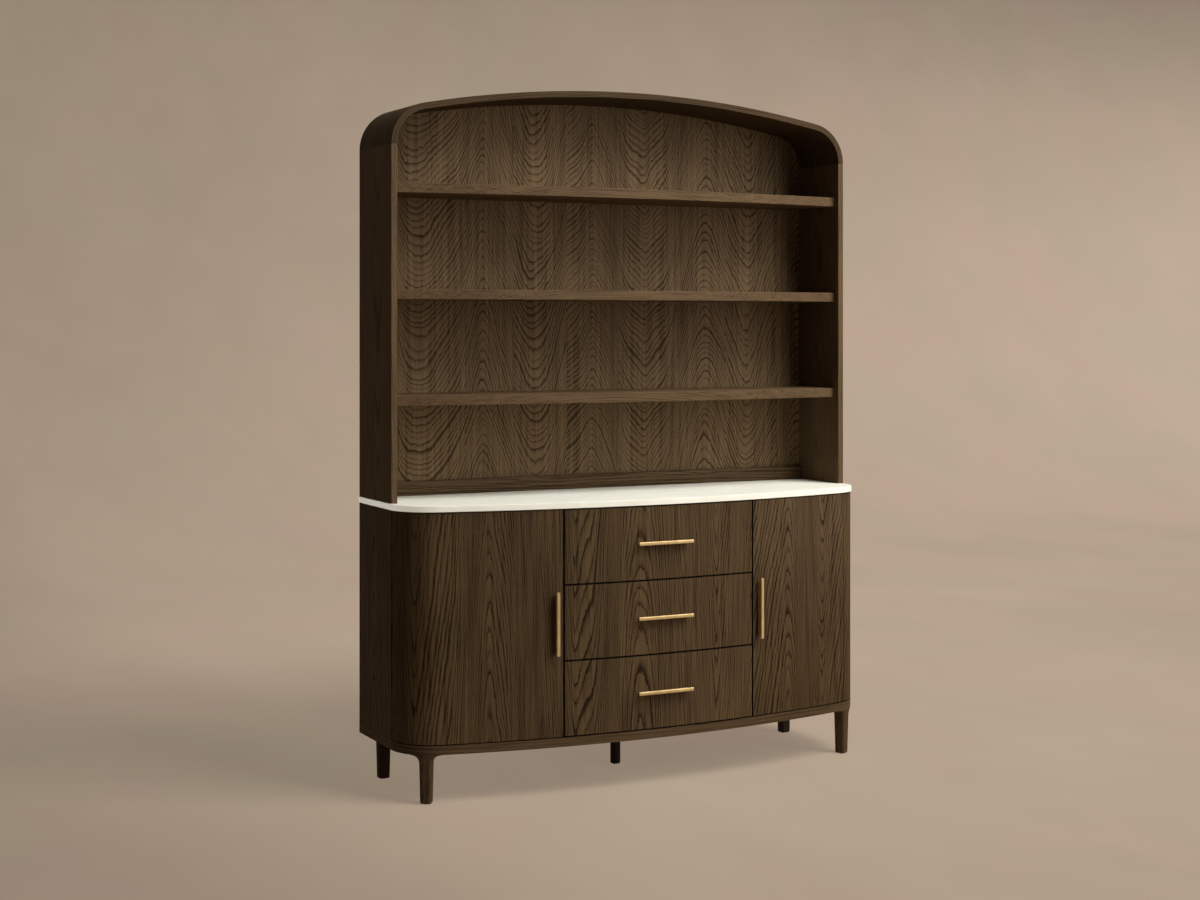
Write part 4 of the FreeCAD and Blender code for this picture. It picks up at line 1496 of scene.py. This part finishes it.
@dataclass
class Hutch:
    """Open upper part: two sides, a bent top and three bowed shelves."""

    thickness: float = 0.021
    front: float = -0.0225
    rear: float = 0.2785
    bottom: float = 0.952
    edge: float = 0.0012
    shelves: tuple[float, ...] = (1.266, 1.613, 1.960)
    shelf: float = 0.033
    shelf_rear: float = 0.2385
    shelf_front: float = 0.0035
    shelf_radius: float = 4.8361
    shelf_edge: float = 0.002
    words: tuple[str, ...] = ("lower", "middle", "upper")

    def sides(self) -> None:
        """Plane the two sides."""
        for side in Side:
            piece = side_board(f"{side.word}_hutch_side", side, self.thickness,
                               (self.front, self.bottom), (self.rear, ARCH.spring))
            piece.ease(self.edge, segments=3).smooth()
            piece.lay_grain(lambda p: (p.y, CASE.half_width - abs(p.x), p.z))
            piece.finish(Finishes.HUTCH, f"hutch_{side.word}_side")

    def arch(self) -> None:
        """Sweep the top round both corners."""
        x = ARCH.half_width
        piece = Workpiece.section("hutch_top", (-x, self.front, ARCH.spring),
                                  (-x + self.thickness, self.rear, ARCH.spring))
        with piece.edit():
            ARCH.sweep(piece, Axis.Y, steps=32)
        piece.close().ease(self.edge, segments=3).smooth()
        piece.lay_grain(arch_grain).finish(Finishes.ARCH, "hutch_arch")

    def board(self) -> Workpiece:
        """Sweep the lowest shelf's front to its bow.

        Returns:
            The shelf.
        """
        x = CASE.half_width - self.thickness
        z = self.shelves[0]
        centre = self.shelf_front + math.sqrt(self.shelf_radius ** 2 - x * x)
        piece = Workpiece.line("shelf", (-x, self.shelf_rear, z),
                               (-x, self.shelf_rear, z + self.shelf))
        with piece.edit():
            piece.run((0, self.shelf_front - self.shelf_rear, 0))
            piece.bend((0, centre, 0), Axis.Z, 2 * math.asin(x / self.shelf_radius), steps=64)
            piece.run((0, self.shelf_rear - self.shelf_front, 0))
            piece.run((-2 * x, 0, 0))
        return piece.close().ease(self.shelf_edge, segments=3).smooth()

    def build(self) -> None:
        """Make the sides, the top and the shelves."""
        self.sides()
        self.arch()
        pattern = self.board()
        for word, z in zip(self.words, self.shelves):
            rise = Matrix.Translation((0, 0, z - self.shelves[0]))
            piece = pattern.copy(f"{word}_hutch_shelf", rise)
            piece.lay_grain(lambda p: (p.y, p.z, p.x))
            piece.finish(Finishes.HUTCH, f"hutch_shelf_{word}")
        pattern.drop()


@dataclass
class CarriedOver:
    """Solids of the frame that stay as they are and get a finish."""

    def build(self) -> None:
        """Dress every solid that stays."""
        plan = {
            Finishes.BACK: ("hutch_back_panel",),
            Finishes.RAILS: ("hutch_back_rail", "plinth_rear_rail"),
            Finishes.RAILS_DEEP: ("plinth_stretchers", "cupboard_shelf_battens"),
            Finishes.REAR: ("base_back_panel",),
            Finishes.UPRIGHT: ("left_divider", "right_divider"),
            Finishes.ALONG_X: ("base_bottom_panel", "base_sub_top", "left_cupboard_shelf",
                               "right_cupboard_shelf"),
            Finishes.BOX_SIDES: ("leg_tenons", "hutch_tenons"),
            Finishes.FELT: ("foot_pads",),
            Finishes.PLASTIC: ("door_catches",),
            Finishes.STEEL: ("drawer_runner_channels", "hutch_bolts"),
            Finishes.BRONZE: ("door_pivot_plates", "left_door_fittings", "right_door_fittings"),
        }
        for finish, nodes in plan.items():
            for node in nodes:
                self.dress(node, finish)
        box = {"sides": Finishes.BOX_SIDES, "back": Finishes.BOX_BACKS,
               "bottom": Finishes.BOX_BOTTOMS, "runners": Finishes.STEEL}
        for drawer in Drawers.names:
            for piece, finish in box.items():
                self.dress(f"{drawer}_drawer_{piece}", finish)

    @staticmethod
    def dress(node: str, finish: Finish) -> None:
        """Give one solid its finish.

        Args:
            node: the solid's name.
            finish: the finish it gets.
        """
        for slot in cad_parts[node].material_slots:
            slot.material = Finishes.get(finish)
        LOG.info("%s: kept, %s", node, finish.name)


# Studio


@dataclass(frozen=True)
class Lamp:
    """Soft square lamp: where it hangs, what it faces, its side, its watts and its colour."""

    name: str
    place: Point
    target: Point
    size: float
    power: float
    tint: Colour

    def hang(self) -> bpy.types.Object:
        """Hang the lamp.

        Returns:
            The lamp.
        """
        data = bpy.data.lights.new(self.name, "AREA")
        data.shape = "SQUARE"
        data.size = self.size
        data.energy = self.power
        data.color = self.tint
        thing = bpy.data.objects.new(self.name, data)
        bpy.context.collection.objects.link(thing)
        thing.location = self.place
        way = Vector(self.target) - Vector(self.place)
        thing.rotation_euler = way.to_track_quat("-Z", "Y").to_euler()
        return thing

    def hang_tied(self, thing: bpy.types.Object, tie: Tie) -> None:
        """Hang the lamp so that it lights one thing alone, or all but that thing.

        Args:
            thing: the thing it is about.
            tie: which of the two.
        """
        lamp = self.hang()
        tied = bpy.data.collections.new(self.name + "_lamp")
        tied.objects.link(thing)
        lamp.light_linking.receiver_collection = tied
        tied.collection_objects[0].light_linking.link_state = tie.value


@dataclass
class Studio:
    """Floor and wall, lamps and camera."""

    lamps: tuple[Lamp, ...] = (
        Lamp("key", (3.6, -4.9, 2.6), (0, 0, 1.2), 4.6, 190, (1.0, 0.985, 0.955)),
        Lamp("top", (2.2, -3.0, 5.6), (0, -0.2, 0.9), 3.4, 420, (1.0, 0.99, 0.965)),
        Lamp("fill", (-5.5, -5.0, 2.6), (0, 0, 1.1), 4.0, 8, (1.0, 0.98, 0.95)),
    )
    rear: Lamp = Lamp("rear", (0.8, 6.0, 1.4), (0, 0, 1.2), 2.2, 170, (1.0, 0.985, 0.96))
    side: Lamp = Lamp("side", (-5.5, 0.3, 1.3), (-0.8, 0, 0.94), 1.5, 105, (1.0, 0.99, 0.965))
    eye: Point = (-3.0731, -5.8184, 1.5353)
    heading: float = -27.007
    lens: float = 57.29
    shift: float = -0.1057
    floor_centre: Point = (4.0, -2.0, 0)
    floor_size: Point = (60, 26)
    wall_height: float = 16
    sweep: float = 6.0
    wall: Colour = (0.46, 0.365, 0.275)
    air: Colour = (0.96, 0.93, 0.90)
    air_strength: float = 0.04

    def backdrop(self) -> bpy.types.Object:
        """Bend one sheet into a floor and a wall.

        Returns:
            The sheet.
        """
        sheet = Workpiece.sheet("studio_sweep", self.floor_centre, self.floor_size)
        x, rear = self.floor_centre[0], self.floor_centre[1] + self.floor_size[1] / 2 - 0.1
        with sheet.edit():
            sheet.pick(Part.EDGE, lambda at, edge: at.y > rear)
            sheet.run((0, 0, self.wall_height))
            sheet.pick(Part.EDGE, lambda at, edge: at.y > rear and at.z < 0.1 and abs(at.x - x) < 1)
            bpy.ops.mesh.bevel(offset=self.sweep, segments=24, affect="EDGES")
        sheet.hold()
        bpy.ops.object.shade_smooth()
        sheet.thing.data.materials.append(Finishes.get(Finishes.PLASTER))
        return sheet.thing

    def room(self) -> None:
        """Fill the room with dim light, and show a pale wall where the sheet ends."""
        graph = Graph(bpy.data.worlds.new("room"))
        dim = graph.out("Background", {"Color": self.air, "Strength": self.air_strength})
        seen = graph.out("Background", {"Color": self.wall, "Strength": 1.0})
        shader = graph.out("MixShader", {0: graph.shown(), 1: dim, 2: seen})
        graph.out_to("OutputWorld", shader)
        bpy.context.scene.world = graph.owner

    def camera(self) -> None:
        """Set the camera up."""
        data = bpy.data.cameras.new("camera")
        data.lens = self.lens
        data.shift_y = self.shift
        thing = bpy.data.objects.new("camera", data)
        bpy.context.collection.objects.link(thing)
        thing.location = self.eye
        thing.rotation_euler = (math.pi / 2, 0, math.radians(self.heading))
        bpy.context.scene.camera = thing

    def build(self) -> None:
        """Set up all but the lamp at the left, which needs the slab."""
        self.camera()
        sheet = self.backdrop()
        for lamp in self.lamps:
            lamp.hang()
        self.rear.hang_tied(sheet, Tie.ALL_BUT)
        self.room()
        bpy.context.scene.view_settings.view_transform = "Standard"


def main() -> None:
    """Build and dress the dresser."""
    logging.basicConfig(level=logging.INFO, format="%(message)s")
    studio = Studio()
    studio.build()
    Plinth().build()
    studio.side.hang_tied(Case().build(), Tie.ONLY)
    pull = Pull().build()
    pattern = Door(Side.LEFT).pattern()
    for side in Side:
        Door(side).build(pattern, pull)
    pattern.drop()
    Drawers().build(pull)
    pull.pattern.drop()
    Hutch().build()
    CarriedOver().build()


if __name__ == "__main__":
    main()
